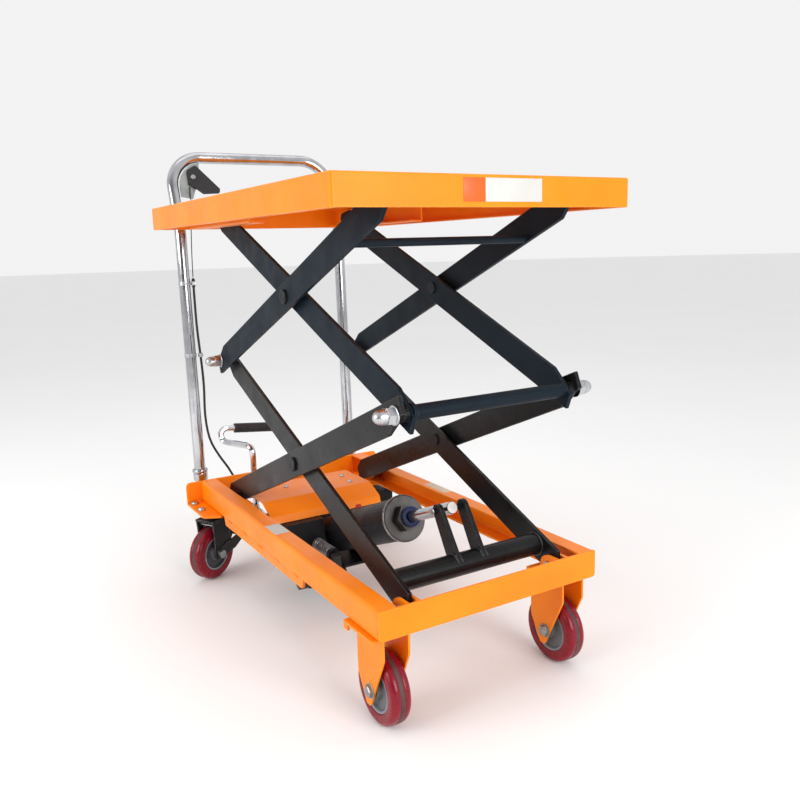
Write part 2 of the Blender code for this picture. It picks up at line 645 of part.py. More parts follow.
def roller(name, spot, inner, outer, side):
    """A steel roller with chamfered rims."""
    width = outer - inner
    section = [(0.0, 0.0080), (0.0, ROLLER_RADIUS - 0.0015), (0.0015, ROLLER_RADIUS),
               (width - 0.0015, ROLLER_RADIUS), (width, ROLLER_RADIUS - 0.0015), (width, 0.0080)]
    return node(turned(section, raised(spot, side * inner), (0, side, 0), 20, ring=True), name, "zinc",
                raised(spot, side * (inner + outer) / 2.0))


# Platform

def platform_pan():
    """The folded platform sheet: deep rim, return lips along its long sides, and the four hinge ears."""
    half_x, half_y = PLATFORM_LENGTH / 2.0, PLATFORM_WIDTH / 2.0
    rim = rounded([(-half_x, -half_y), (half_x, -half_y), (half_x, half_y), (-half_x, half_y)], 0.008)
    shape = plate(rim, "Z", rim_bottom, platform_top)
    edges = bmesh.new()
    edges.from_mesh(shape.data)
    upper = [edge for edge in edges.edges if min(v.co.z for v in edge.verts) > platform_top - 1e-5]
    bmesh.ops.bevel(edges, geom=upper, offset=0.003, segments=3, affect="EDGES", profile=0.5)
    edges.to_mesh(shape.data)
    edges.free()
    inner_x, inner_y = half_x - SHEET, half_y - SHEET
    hollow = plate(rounded([(-inner_x, -inner_y), (inner_x, -inner_y), (inner_x, inner_y), (-inner_x, inner_y)],
                           0.005), "Z", rim_bottom - 0.01, pan_under)
    shape = cut(shape, hollow)
    parts = []
    for _, side in SIDES:
        low_y, high_y = across(side, inner_y - 0.012, inner_y + 0.001)
        parts.append(block((-inner_x + 0.006, low_y, rim_bottom), (inner_x - 0.006, high_y, rim_bottom + SHEET)))
        for y_range in ((0.1600, 0.1680), (0.1812, 0.1892)):
            ear = plate(rounded([(FRONT_PIVOT_X - 0.020, pan_under + 0.001), (FRONT_PIVOT_X - 0.020, 0.829),
                                 (FRONT_PIVOT_X + 0.020, 0.829), (FRONT_PIVOT_X + 0.020, pan_under + 0.001)],
                                [0.0, 0.018, 0.018, 0.0]), "Y", *across(side, *y_range))
            bore = rod(raised(platform_pivot, side * 0.13), raised(platform_pivot, side * 0.21), BORE_RADIUS)
            parts.append(cut(ear, bore))
    return node(fuse(shape, *parts), "platform_pan", "orange_paint", raised(platform_pivot))


def platform_rail(name, side):
    """An inward-facing channel under the platform, in which an upper roller runs."""
    low = platform_roller.y - ROLLER_RADIUS - 0.0008
    high = pan_under - GAP
    inner, outer, web = side * 0.166, side * 0.200, side * 0.1965
    section = rounded([(inner, low - 0.0032), (outer, low - 0.0032), (outer, high), (inner, high),
                       (inner, high - 0.002), (web, high - 0.002), (web, low), (inner, low)],
                      [0.0, 0.004, 0.0, 0.0, 0.0, 0.0, 0.002, 0.0])
    return node(plate(section, "X", -0.440, -0.060), name, "orange_paint", raised(platform_pivot))


# Hydraulics

ram_axis = (RAM_PIN - RAM_PIVOT).normalized()
RAM_REACH = (RAM_PIN - RAM_PIVOT).length
GLAND_START = 0.3110


def ram_barrel():
    """The ram's cylinder: a bored barrel with a drilled solid foot."""
    section = [(-0.034, 0.0), (-0.034, BARREL_RADIUS - 0.004), (-0.030, BARREL_RADIUS),
               (GLAND_START - GAP, BARREL_RADIUS), (GLAND_START - GAP, 0.0285), (0.070, 0.0285), (0.070, 0.0)]
    body = turned(section, RAM_PIVOT, ram_axis, 32)
    bore = rod(RAM_PIVOT - Vector((0, 0.06, 0)), RAM_PIVOT + Vector((0, 0.06, 0)), BORE_RADIUS)
    return node(cut(body, bore), "ram_barrel", "black_paint", RAM_PIVOT)


def ram_gland():
    """The screwed gland that closes the barrel, with its collar and hexagon."""
    start = GLAND_START
    bore = ROD_RADIUS + 0.0008
    body = turned([(start, bore), (start, 0.0445), (start + 0.0015, 0.0460), (start + 0.0075, 0.0460),
                   (start + 0.010, 0.0435), (start + 0.010, 0.0215), (start + 0.0355, 0.0205), (start + 0.0355, bore)],
                  RAM_PIVOT, ram_axis, 28, ring=True)
    wrench = turned([(start + 0.0135, 0.0165), (start + 0.0135, 0.0280), (start + 0.0315, 0.0280),
                     (start + 0.0315, 0.0165)], RAM_PIVOT, ram_axis, 6, ring=True)
    return node(fuse(body, wrench), "ram_gland", "grey_iron", RAM_PIVOT)


def ram_rod():
    """The polished rod with its piston inside the barrel."""
    end = RAM_REACH + 0.0125
    section = [(0.215, 0.0), (0.215, 0.0275), (0.233, 0.0275), (0.233, ROD_RADIUS), (end - 0.001, ROD_RADIUS),
               (end, ROD_RADIUS - 0.001), (end, 0.0)]
    return node(turned(section, RAM_PIVOT, ram_axis, 20), "ram_rod", "chrome", RAM_PIN)


def filler_plug():
    """The plug in the top of the barrel."""
    up = Vector((-ram_axis.z, 0.0, ram_axis.x))
    foot = RAM_PIVOT + ram_axis * 0.130 + up * (BARREL_RADIUS + GAP)
    return node(turned([(0.0, 0.0), (0.0, 0.0062), (0.006, 0.0062), (0.0075, 0.005), (0.0075, 0.0)], foot, up, 12),
                "filler_plug", "red_plastic", foot)


def ram_pivot_pin():
    """The cross pin on which the ram swings."""
    start, head, end = -0.0512, 0.0508, 0.0540
    profile = [(0.0, 0.0), (0.0, 0.0080), (head - start, 0.0080), (head - start, 0.0120), (end - start, 0.0120),
               (end - start, 0.0)]
    return node(turned(profile, RAM_PIVOT + Vector((0, start, 0)), (0, 1, 0), 12), "ram_pivot_pin", "zinc",
                RAM_PIVOT)


BLOCK_LOW = (-0.190, -0.1395, 0.0700)
BLOCK_HIGH = (-0.100, -0.0530, 0.1855)


def pump_block():
    """The hand pump's body, bored in front for its plunger."""
    body = block(BLOCK_LOW, BLOCK_HIGH)
    bore = rod((-0.160, PLUNGER_Y, PLUNGER_Z), (-0.090, PLUNGER_Y, PLUNGER_Z), 0.0068)
    boss = turned([(-0.002, 0.0), (-0.002, 0.0115), (0.004, 0.0115), (0.004, 0.0)],
                  (BLOCK_HIGH[0], PLUNGER_Y, PLUNGER_Z), (1, 0, 0), 16)
    return node(cut(fuse(body, boss), bore), "pump_block", "black_paint")


TRAY_FLOOR = (0.0644, 0.0694)


def pump_tray():
    """The folded cradle hung between the rails that carries the pump, the ram's foot and the pedal shaft."""
    top = BASE_LOW - GAP
    beam = [(-0.2155, 0.138), (0.2155, 0.138), (0.2155, top), (0.1920, top), (0.1920, 0.1655), (-0.1920, 0.1655),
            (-0.1920, top), (-0.2155, top)]
    body = plate(beam, "X", -0.262, -0.256)
    low, high = TRAY_FLOOR
    web = block((-0.262, -0.0450, low), (-0.256, 0.0620, 0.145))
    spine = block((-0.261, -0.0450, low), (-0.185, 0.0620, high))
    floor = block((-0.192, -0.1390, low), (-0.085, 0.0620, high))
    ears = []
    for _, side in SIDES:
        ear = plate(rounded([(-0.180, low + 0.002), (-0.090, low + 0.002), (-0.114, 0.152), (-0.156, 0.152)],
                            [0.0, 0.0, 0.018, 0.018]), "Y", *across(side, 0.0445, 0.0505))
        ears.append(cut(ear, rod(RAM_PIVOT - Vector((0, 0.07, 0)), RAM_PIVOT + Vector((0, 0.07, 0)), BORE_RADIUS)))
    pivot = PEDAL_PIVOT
    for y_range in ((-0.1388, -0.1330), (-0.0575, -0.0520)):
        ear = plate(rounded([(-0.0950, low + 0.002), (-0.0860, low + 0.001), (0.0055, 0.0785), (0.0055, 0.1035),
                             (-0.0215, 0.1035)], [0.0, 0.0, 0.006, 0.012, 0.012]), "Y", *y_range)
        ears.append(cut(ear, rod((pivot.x, -0.16, pivot.z), (pivot.x, -0.03, pivot.z), 0.0091, 16)))
    return node(fuse(body, web, spine, floor, *ears), "pump_tray", "black_paint")


def pump_cover():
    """The bent orange sheet over the pump, with its end cheek and three screws."""
    wall = 0.0025
    crest = 0.225
    outer = [(-0.300, 0.198), (-0.300, crest), (-0.170, crest), (-0.125, 0.203), (-0.1195, 0.1867)]
    inner = [(-0.1195 - wall, 0.1867), (-0.125 - wall * 0.9, 0.203 - wall * 0.6), (-0.170 - wall * 0.3, crest - wall),
             (-0.300 + wall, crest - wall), (-0.300 + wall, 0.198)]
    section = rounded(outer + inner, [0.0, 0.004, 0.006, 0.005, 0.0, 0.0, 0.003, 0.004, 0.002, 0.0], 3)
    body = plate(section, "Y", -0.166, 0.105)
    cheek = plate([(-0.299, 0.200), (-0.299, crest - 0.001), (-0.171, crest - 0.001), (-0.127, 0.2035),
                   (-0.1215, 0.190)], "Y", 0.102, 0.105)
    screws = [turned([(0.0, 0.0), (0.0, 0.0045), (0.0024, 0.0042), (0.0040, 0.0022), (0.0040, 0.0)],
                     (x, y, crest - 0.001), (0, 0, 1), 12)
              for x, y in ((-0.198, 0.067), (-0.249, -0.076), (-0.252, 0.073))]
    return node(fuse(body, cheek, *screws), "pump_cover", "orange_paint")


def pump_plunger():
    """The pump's plunger with its spring cap."""
    start = -0.148
    length = PLUNGER_FACE - start
    section = [(0.0, 0.0), (0.0, 0.0060), (length - 0.005, 0.0060), (length - 0.005, 0.0150), (length, 0.0140),
               (length, 0.0)]
    return node(turned(section, (start, PLUNGER_Y, PLUNGER_Z), (1, 0, 0), 16), "pump_plunger", "zinc",
                (PLUNGER_FACE, PLUNGER_Y, PLUNGER_Z))


def plunger_spring():
    """The plunger's return spring, closed at both ends."""
    wire = 0.0015
    coil = 0.0122
    start = BLOCK_HIGH[0] + wire + GAP
    end = PLUNGER_FACE - 0.005 - wire - GAP
    turns = 8
    steps = 12
    path = []
    for step in range(turns * steps + 1):
        angle = 2.0 * math.pi * step / steps
        share = step / (turns * steps)
        path.append((start + (end - start) * share, PLUNGER_Y + (coil + wire) * math.cos(angle),
                     PLUNGER_Z + (coil + wire) * math.sin(angle)))
    return node(tube(path, wire, 0), "plunger_spring", "zinc", (start, PLUNGER_Y, PLUNGER_Z))


# Foot pedal

def foot_pedal():
    """The bent pedal bar, its shaft and the crank that pushes the plunger."""
    bar = tube(bent_path([(-0.550, 0.0345, 0.3015), (-0.552, -0.130, 0.3185), (-0.546, -0.1235, 0.2840),
                          (-0.452, -0.0780, 0.2820), (-0.452, -0.0780, 0.1180), (-0.270, -0.0780, 0.1080),
                          (-0.205, PEDAL_PIVOT.y, 0.1000), PEDAL_PIVOT], 0.0165, 4), 0.008, 3)
    pivot = PEDAL_PIVOT
    shaft = rod((pivot.x, pivot.y - 0.004, pivot.z), (pivot.x, -0.050, pivot.z), 0.0086, 16)
    collar = rod((pivot.x, pivot.y - 0.009, pivot.z), (pivot.x, pivot.y + 0.0095, pivot.z), 0.0125, 16)
    tip = Vector((-0.0105, PLUNGER_Z - 0.001))
    crank = plate(rounded([(pivot.x - 0.0105, pivot.z - 0.0122), (tip.x - 0.0085, tip.y + 0.008),
                           (tip.x + 0.008, tip.y + 0.008), (pivot.x + 0.0105, pivot.z - 0.0122)],
                          [0.003, 0.007, 0.006, 0.003]), "Y", -0.0785, -0.0615)
    return node(fuse(shaft, crank, collar, bar), "foot_pedal", "chrome", pivot)


def pedal_grip():
    """The rubber sleeve on the pedal bar."""
    start = Vector((-0.5514, -0.0880, 0.31415))
    direction = Vector((-0.550, 0.0345, 0.3015)) - Vector((-0.552, -0.130, 0.3185))
    length = 0.128
    section = [(length, 0.0), (length, 0.0110), (length - 0.003, 0.0128), (0.002, 0.0128), (0.0, 0.0118),
               (0.0, 0.0084), (length - 0.004, 0.0084), (length - 0.004, 0.0)]
    return node(turned(section, start, direction, 16), "pedal_grip", "black_rubber", PEDAL_PIVOT)


# Handle

HANDLE_FOOT = (-0.475, BASE_LOW + GAP)
HANDLE_BEND = (-0.487, 0.825)
HANDLE_TOP = (-0.542, 0.997)
HANDLE_BEND_RADIUS = 0.077


def handle_tube():
    """The chromed push handle, one bent tube with a collar at each foot."""
    upright = (HANDLE_FOOT, HANDLE_BEND, HANDLE_TOP)
    corners = [raised(point, -HANDLE_HALF) for point in upright]
    corners += [raised(point, HANDLE_HALF) for point in reversed(upright)]
    body = tube(bent_path(corners, HANDLE_BEND_RADIUS, 5), HANDLE_RADIUS, 4)
    lean = (HANDLE_BEND[0] - HANDLE_FOOT[0]) / (HANDLE_BEND[1] - HANDLE_FOOT[1])
    collars = []
    for _, side in SIDES:
        low = 0.2130
        foot = Vector((HANDLE_FOOT[0] + lean * (low - HANDLE_FOOT[1]), side * HANDLE_HALF, low))
        collars.append(turned([(0.0, 0.0), (0.0, 0.0178), (0.018, 0.0178), (0.0215, 0.0192), (0.0265, 0.0192),
                               (0.029, 0.0160), (0.029, 0.0)], foot, (lean, 0.0, 1.0), 12))
    return node(fuse(body, *collars), "handle_tube", "chrome")


handle_up = (raised(HANDLE_TOP) - raised(HANDLE_BEND)).normalized()
handle_normal = Vector((handle_up.z, 0.0, -handle_up.x))
LEVER_PIN = raised(HANDLE_BEND, -0.160) + handle_up * 0.126


def on_handle(outline, low, high):
    """A plate parallel to the handle's upper part: (y, distance up from its bend), low to high before its axis."""
    shape = plate(outline, "X", low, high)
    turn = Matrix((handle_normal, Vector((0, 1, 0)), handle_up)).transposed().to_4x4()
    shape.data.transform(Matrix.Translation(raised(HANDLE_BEND)) @ turn)
    return shape


def lever_bracket():
    """The zinc gusset in the handle's right bend, with the pin of the release lever."""
    height = (raised(HANDLE_TOP) - raised(HANDLE_BEND)).length
    centre = Vector((HANDLE_BEND_RADIUS - HANDLE_HALF, height - HANDLE_BEND_RADIUS))
    reach = HANDLE_BEND_RADIUS - HANDLE_RADIUS - 0.0018
    angles = [math.radians(degrees) for degrees in range(180, 95, -14)]
    arc = [centre + Vector((math.cos(a), math.sin(a))) * reach for a in angles]
    gusset = [Vector((centre.x - reach, 0.080))] + arc + [Vector((-0.143, 0.130)), Vector((-0.166, 0.0745))]
    body = on_handle(gusset, 0.002, 0.006)
    pin = turned([(0.004, 0.0), (0.004, 0.0035), (0.0131, 0.0035), (0.0131, 0.0065), (0.0150, 0.0055), (0.0150, 0.0)],
                 LEVER_PIN, handle_normal, 12)
    return node(fuse(body, pin), "lever_bracket", "zinc")


def release_lever():
    """The finger lever that pulls the release cable."""
    blade = rounded([(-0.172, 0.110), (-0.172, 0.144), (-0.150, 0.1564), (-0.098, 0.0976), (-0.100, 0.0871),
                     (-0.140, 0.0850)], [0.004, 0.006, 0.006, 0.004, 0.004, 0.004])
    bore = rod(LEVER_PIN, LEVER_PIN + handle_normal * 0.03, 0.0041)
    return node(cut(on_handle(blade, 0.0075, 0.0125), bore), "release_lever", "black_plastic", LEVER_PIN)


def release_wire():
    """The bare wire between the lever and the cable's sheath."""
    return node(tube(smooth_path([(-0.5092, -0.171, 0.9260), (-0.4945, -0.176, 0.880), (-0.4860, -0.183, 0.820),
                                  (-0.4790, -0.188, 0.760), (-0.4765, -0.190, 0.7125)], 0.016), 0.0011, 2),
                "release_wire", "zinc")


def release_cable():
    """The sheathed release cable, from its ferrule down the handle to the pump's valve."""
    route = [(-0.4762, -0.1900, 0.7100), (-0.4760, -0.1905, 0.6600), (-0.4750, -0.1900, 0.5900),
             (-0.4740, -0.1860, 0.5100), (-0.4730, -0.1845, 0.4480), (-0.4720, -0.1870, 0.3750),
             (-0.4700, -0.1810, 0.3170), (-0.4670, -0.1640, 0.2750), (-0.4600, -0.1420, 0.2360),
             (-0.4430, -0.1310, 0.2070), (-0.4220, -0.1310, 0.1995), (-0.3800, -0.1260, 0.1970),
             (-0.3100, -0.1200, 0.1900), (-0.2450, -0.1160, 0.1800), (-0.1905, -0.1150, 0.1700)]
    sheath = tube(smooth_path(route, 0.018), 0.003, 2)
    ferrule = turned([(0.0, 0.0), (0.0, 0.0042), (0.016, 0.0042), (0.021, 0.0028), (0.021, 0.0)],
                     (-0.4763, -0.1900, 0.6895), (0, 0, 1), 12)
    return node(fuse(ferrule, sheath), "release_cable", "black_rubber")


def build():
    """Every piece of the machine."""
    front_crossmember()
    rear_crossmember()
    lower_inner_frame()
    upper_inner_frame()
    upper_outer_frame()
    mid_front_axle()
    platform_pan()
    for name, side in SIDES:
        base_rail(f"rail_{name}", side)
        front_fork(f"fork_{name}", side)
        through_pin(f"base_pin_{name}", base_pivot, 0.1385, 0.1720, side)
        lower_outer_arm(f"lower_outer_arm_{name}", side)
        roller(f"base_roller_{name}", base_roller, 0.1925, 0.2165, side)
        mid_rear_bolt(f"mid_rear_bolt_{name}", side)
        centre_pin(f"lower_centre_pin_{name}", lower_cross, side)
        centre_pin(f"upper_centre_pin_{name}", upper_cross, side)
        roller(f"platform_roller_{name}", platform_roller, 0.1700, 0.1920, side)
        platform_rail(f"platform_rail_{name}", side)
        through_pin(f"platform_pin_{name}", platform_pivot, 0.1565, 0.1927, side)
        centre = Vector((FRONT_WHEEL.x, side * FRONT_WHEEL.y, WHEEL_RADIUS))
        tyre(f"front_tyre_{name}", centre, (0, 1, 0))
        hub(f"front_hub_{name}", centre, (0, 1, 0))
        caster_plate(f"caster_plate_{name}", side)
        frame = CasterFrame(side)
        caster_yoke(f"caster_yoke_{name}", frame)
        tyre(f"caster_tyre_{name}", frame.wheel, frame.axle)
        hub(f"caster_hub_{name}", frame.wheel, frame.axle)
        caster_brake(f"caster_brake_{name}", frame)
    ram_barrel()
    ram_gland()
    ram_rod()
    filler_plug()
    ram_pivot_pin()
    pump_block()
    pump_tray()
    pump_cover()
    pump_plunger()
    plunger_spring()
    foot_pedal()
    pedal_grip()
    handle_tube()
    lever_bracket()
    release_lever()
    release_wire()
    release_cable()


build()
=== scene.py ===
"""Look of the manual double scissor lift table: materials, fine pieces, camera and studio light.

Metres, +Z up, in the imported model's frame. +X is the end with the fixed wheels, -Y the machine's right side.
"""

import json
import math

import bmesh
import bpy
from mathutils import Matrix, Vector


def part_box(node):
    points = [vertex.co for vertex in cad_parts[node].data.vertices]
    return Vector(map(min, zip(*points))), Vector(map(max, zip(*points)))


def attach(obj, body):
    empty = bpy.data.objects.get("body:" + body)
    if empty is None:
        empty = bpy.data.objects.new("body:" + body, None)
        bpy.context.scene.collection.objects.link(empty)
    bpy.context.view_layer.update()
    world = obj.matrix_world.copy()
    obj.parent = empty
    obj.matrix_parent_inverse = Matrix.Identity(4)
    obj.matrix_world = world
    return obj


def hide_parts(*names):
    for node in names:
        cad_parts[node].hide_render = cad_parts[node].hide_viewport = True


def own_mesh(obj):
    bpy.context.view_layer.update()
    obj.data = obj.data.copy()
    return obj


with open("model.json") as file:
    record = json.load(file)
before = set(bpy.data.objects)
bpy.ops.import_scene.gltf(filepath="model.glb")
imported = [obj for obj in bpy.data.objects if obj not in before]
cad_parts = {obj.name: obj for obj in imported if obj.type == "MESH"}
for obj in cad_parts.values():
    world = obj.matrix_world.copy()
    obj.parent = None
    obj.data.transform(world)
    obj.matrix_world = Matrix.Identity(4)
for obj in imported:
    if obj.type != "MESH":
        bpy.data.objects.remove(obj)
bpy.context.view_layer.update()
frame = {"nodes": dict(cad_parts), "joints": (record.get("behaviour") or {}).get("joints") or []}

JOINTS = {joint["name"]: joint for joint in frame["joints"]}
SIDES = (("right", -1.0), ("left", 1.0))

CAMERA_AT = Vector((1.4987, -0.7684, 0.7682))
CAMERA_AZIMUTH = math.radians(149.2035)    # of the view direction, from +X towards +Y
CAMERA_ELEVATION = math.radians(-10.7549)
CAMERA_ROLL = math.radians(-1.6891)
CAMERA_LENS = 36.096


def pivot(name):
    """A point on a joint's axis."""
    return Vector(JOINTS[name]["pos_m"])


def direction(name):
    """A joint's axis."""
    return Vector(JOINTS[name]["axis"]).normalized()


def centre(node):
    """The middle of a CAD node's box."""
    low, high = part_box(node)
    return (low + high) / 2.0


# Materials

class Look:
    """One procedural material on the Principled shader."""

    def __init__(self, name, **sockets):
        self.material = bpy.data.materials.new(name)
        self.material.use_nodes = True
        self.tree = self.material.node_tree
        self.shader = self.tree.nodes["Principled BSDF"]
        for socket, value in sockets.items():
            self.shader.inputs[socket.replace("_", " ")].default_value = value
        self.place = self.add("ShaderNodeTexCoord").outputs["Object"]

    def add(self, kind, **settings):
        """A new shader node of a kind, with its settings."""
        node = self.tree.nodes.new(kind)
        for setting, value in settings.items():
            setattr(node, setting, value)
        return node

    def wire(self, source, socket):
        """Connects an output to an input."""
        self.tree.links.new(source, socket)

    def noise(self, scale, detail=3.0, stretch=(1.0, 1.0, 1.0)):
        """A noise value in the model's own space, stretched along the axes where asked."""
        mapping = self.add("ShaderNodeMapping")
        mapping.inputs["Scale"].default_value = stretch
        self.wire(self.place, mapping.inputs["Vector"])
        texture = self.add("ShaderNodeTexNoise")
        texture.inputs["Scale"].default_value = scale
        texture.inputs["Detail"].default_value = detail
        self.wire(mapping.outputs["Vector"], texture.inputs["Vector"])
        return texture.outputs["Fac"]

    def ramp(self, value, low, high, start=0.0, end=1.0):
        """A value between low and high, turned into one between start and end."""
        node = self.add("ShaderNodeMapRange")
        for socket, number in (("From Min", low), ("From Max", high), ("To Min", start), ("To Max", end)):
            node.inputs[socket].default_value = number
        self.wire(value, node.inputs["Value"])
        return node.outputs["Result"]

    def blend(self, share, first, second):
        """The mix of two colours, each a tuple or another node's output."""
        node = self.add("ShaderNodeMix", data_type="RGBA")
        self.wire(share, node.inputs[0])
        for socket, colour in ((node.inputs[6], first), (node.inputs[7], second)):
            if isinstance(colour, tuple):
                socket.default_value = (*colour, 1.0)
            else:
                self.wire(colour, socket)
        return node.outputs[2]

    def product(self, first, second):
        """The product of two values."""
        node = self.add("ShaderNodeMath", operation="MULTIPLY")
        self.wire(first, node.inputs[0])
        self.wire(second, node.inputs[1])
        return node.outputs["Value"]

    def edges(self, radius):
        """1 along the edges of the shape, 0 on its faces."""
        bevel = self.add("ShaderNodeBevel", samples=4)
        bevel.inputs["Radius"].default_value = radius
        geometry = self.add("ShaderNodeNewGeometry")
        across = self.add("ShaderNodeVectorMath", operation="DOT_PRODUCT")
        self.wire(bevel.outputs["Normal"], across.inputs[0])
        self.wire(geometry.outputs["Normal"], across.inputs[1])
        return self.ramp(across.outputs["Value"], 0.985, 0.82)

    def colour(self, source):
        """Sets the base colour."""
        self.wire(source, self.shader.inputs["Base Color"])

    def rough(self, source):
        """Sets the roughness."""
        self.wire(source, self.shader.inputs["Roughness"])

    def bump(self, height, strength, distance):
        """Raises the surface by a height value, as fine relief."""
        node = self.add("ShaderNodeBump")
        node.inputs["Strength"].default_value = strength
        node.inputs["Distance"].default_value = distance
        self.wire(height, node.inputs["Height"])
        self.wire(node.outputs["Normal"], self.shader.inputs["Normal"])


def paint(name, colour, deep, edge, roughness, peel, gloss=0.5):
    """Sprayed paint: faint cloudiness, handling marks, lighter edges and orange peel."""
    look = Look(name, Specular_IOR_Level=gloss)
    cloud = look.ramp(look.noise(7.0, 4.0), 0.35, 0.70)
    body = look.blend(cloud, colour, deep)
    marks = look.ramp(look.noise(38.0, 6.0, (1.0, 1.0, 2.2)), 0.60, 0.74)
    body = look.blend(look.product(marks, cloud), body, deep)
    worn = look.product(look.edges(0.0016), look.ramp(look.noise(90.0, 4.0), 0.36, 0.58))
    look.colour(look.blend(worn, body, edge))
    look.rough(look.ramp(look.noise(24.0, 6.0), 0.30, 0.72, roughness - 0.07, roughness + 0.10))
    look.bump(look.noise(620.0, 2.0), peel, 0.0006)
    return look.material


def plated(name, colour, deep, low, high, grain, stretch=(1.0, 1.0, 1.0)):
    """Plated or machined metal: fine scratches, slight stains and a roughness between low and high."""
    look = Look(name, Metallic=1.0)
    stain = look.ramp(look.noise(30.0, 5.0), 0.45, 0.75)
    look.colour(look.blend(stain, colour, deep))
    look.rough(look.ramp(look.noise(55.0, 6.0, stretch), 0.30, 0.72, low, high))
    look.bump(look.noise(900.0, 3.0, stretch), grain, 0.0003)
    return look.material


def moulded(name, colour, deep, roughness, grain, scale=500.0, gloss=0.4):
    """Rubber, polyurethane or plastic: dull patches and a fine skin."""
    look = Look(name, Specular_IOR_Level=gloss)
    look.colour(look.blend(look.ramp(look.noise(22.0, 5.0), 0.35, 0.75), colour, deep))
    look.rough(look.ramp(look.noise(65.0, 5.0), 0.30, 0.75, roughness - 0.06, roughness + 0.12))
    look.bump(look.noise(scale, 3.0), grain, 0.0006)
    return look.material


ORANGE = paint("orange_enamel", (1.0, 0.262, 0.003), (0.93, 0.215, 0.002), (1.0, 0.42, 0.060),
               roughness=0.36, peel=0.10, gloss=0.26)
ARM = paint("blue_black_enamel", (0.006, 0.014, 0.023), (0.004, 0.009, 0.015), (0.055, 0.075, 0.095),
            roughness=0.46, peel=0.16, gloss=0.12)
LOWER_ARM = paint("black_gloss_enamel", (0.008, 0.0085, 0.009), (0.005, 0.005, 0.006), (0.12, 0.12, 0.12),
                  roughness=0.30, peel=0.22, gloss=0.20)
YOKE = paint("caster_black", (0.012, 0.012, 0.014), (0.008, 0.008, 0.009), (0.34, 0.35, 0.37),
             roughness=0.42, peel=0.20, gloss=0.30)
BLACK = paint("black_enamel", (0.008, 0.009, 0.011), (0.005, 0.006, 0.007), (0.080, 0.084, 0.09),
              roughness=0.40, peel=0.16, gloss=0.20)
SATIN = paint("satin_black_enamel", (0.008, 0.009, 0.012), (0.005, 0.006, 0.008), (0.07, 0.075, 0.08),
              roughness=0.44, peel=0.20, gloss=0.20)
CHROME = plated("polished_chrome", (0.52, 0.52, 0.54), (0.38, 0.38, 0.40), low=0.06, high=0.17, grain=0.03)
ZINC = plated("bright_zinc", (0.52, 0.53, 0.55), (0.33, 0.34, 0.35),
              low=0.24, high=0.44, grain=0.14, stretch=(1.0, 6.0, 1.0))
DULL_ZINC = plated("dull_zinc", (0.36, 0.38, 0.37), (0.20, 0.21, 0.20), low=0.34, high=0.55, grain=0.18)
GLAND = plated("dark_machined_steel", (0.105, 0.100, 0.096), (0.055, 0.052, 0.050),
               low=0.30, high=0.46, grain=0.15, stretch=(1.0, 5.0, 1.0))
SATIN_STEEL = plated("satin_steel", (0.50, 0.48, 0.46), (0.36, 0.35, 0.34), low=0.40, high=0.60, grain=0.25)
SILVER = plated("turned_steel", (0.24, 0.235, 0.235), (0.15, 0.15, 0.15),
                low=0.20, high=0.34, grain=0.10, stretch=(1.0, 9.0, 1.0))
HUB = moulded("cast_grey_nylon", (0.155, 0.175, 0.185), (0.105, 0.118, 0.126),
              roughness=0.42, grain=0.25, scale=420.0)
HUB_DARK = moulded("dark_grey_nylon", (0.050, 0.056, 0.064), (0.032, 0.036, 0.042),
                   roughness=0.42, grain=0.25, scale=420.0)
HUB_RING = moulded("hub_rim_grey", (0.27, 0.31, 0.34), (0.19, 0.22, 0.245),
                   roughness=0.36, grain=0.18, scale=420.0)
HUB_BOSS = moulded("bearing_grey", (0.16, 0.165, 0.175), (0.10, 0.105, 0.11), roughness=0.34, grain=0.15)
TYRE = moulded("maroon_polyurethane", (0.245, 0.003, 0.014), (0.150, 0.002, 0.010),
               roughness=0.24, grain=0.06, gloss=0.32)
TREAD = moulded("scuffed_tread", (0.080, 0.022, 0.024), (0.135, 0.062, 0.060),
                roughness=0.50, grain=0.40, scale=700.0, gloss=0.3)
RUBBER = moulded("black_rubber_sleeve", (0.014, 0.014, 0.015), (0.026, 0.026, 0.027),
                 roughness=0.56, grain=0.35, scale=650.0)
SHEATH = moulded("black_cable_sheath", (0.012, 0.012, 0.013), (0.022, 0.022, 0.023),
                 roughness=0.40, grain=0.15)
PLASTIC = moulded("black_nylon", (0.014, 0.014, 0.016), (0.024, 0.024, 0.026),
                  roughness=0.46, grain=0.35, scale=800.0)
RED_PLASTIC = moulded("red_cap_plastic", (0.62, 0.012, 0.012), (0.45, 0.008, 0.010),
                      roughness=0.32, grain=0.08)
NAVY = moulded("navy_seal", (0.010, 0.022, 0.13), (0.006, 0.014, 0.08), roughness=0.42, grain=0.12)
WHITE_LABEL = moulded("blank_white_label", (0.62, 0.61, 0.58), (0.56, 0.55, 0.52),
                      roughness=0.42, grain=0.06)
BEIGE_LABEL = moulded("blank_beige_label", (0.72, 0.60, 0.45), (0.64, 0.53, 0.40),
                      roughness=0.45, grain=0.06)
AMBER_LABEL = moulded("blank_amber_label", (0.80, 0.115, 0.008), (0.70, 0.095, 0.007),
                      roughness=0.40, grain=0.06)
WELD = paint("painted_weld", (0.014, 0.018, 0.024), (0.008, 0.011, 0.015), (0.10, 0.11, 0.12),
             roughness=0.26, peel=0.20, gloss=0.60)


PEDAL_SPLIT = 0.0160    # where the paint starts, along X from the pedal's axis
PEDAL_FADE = 0.004


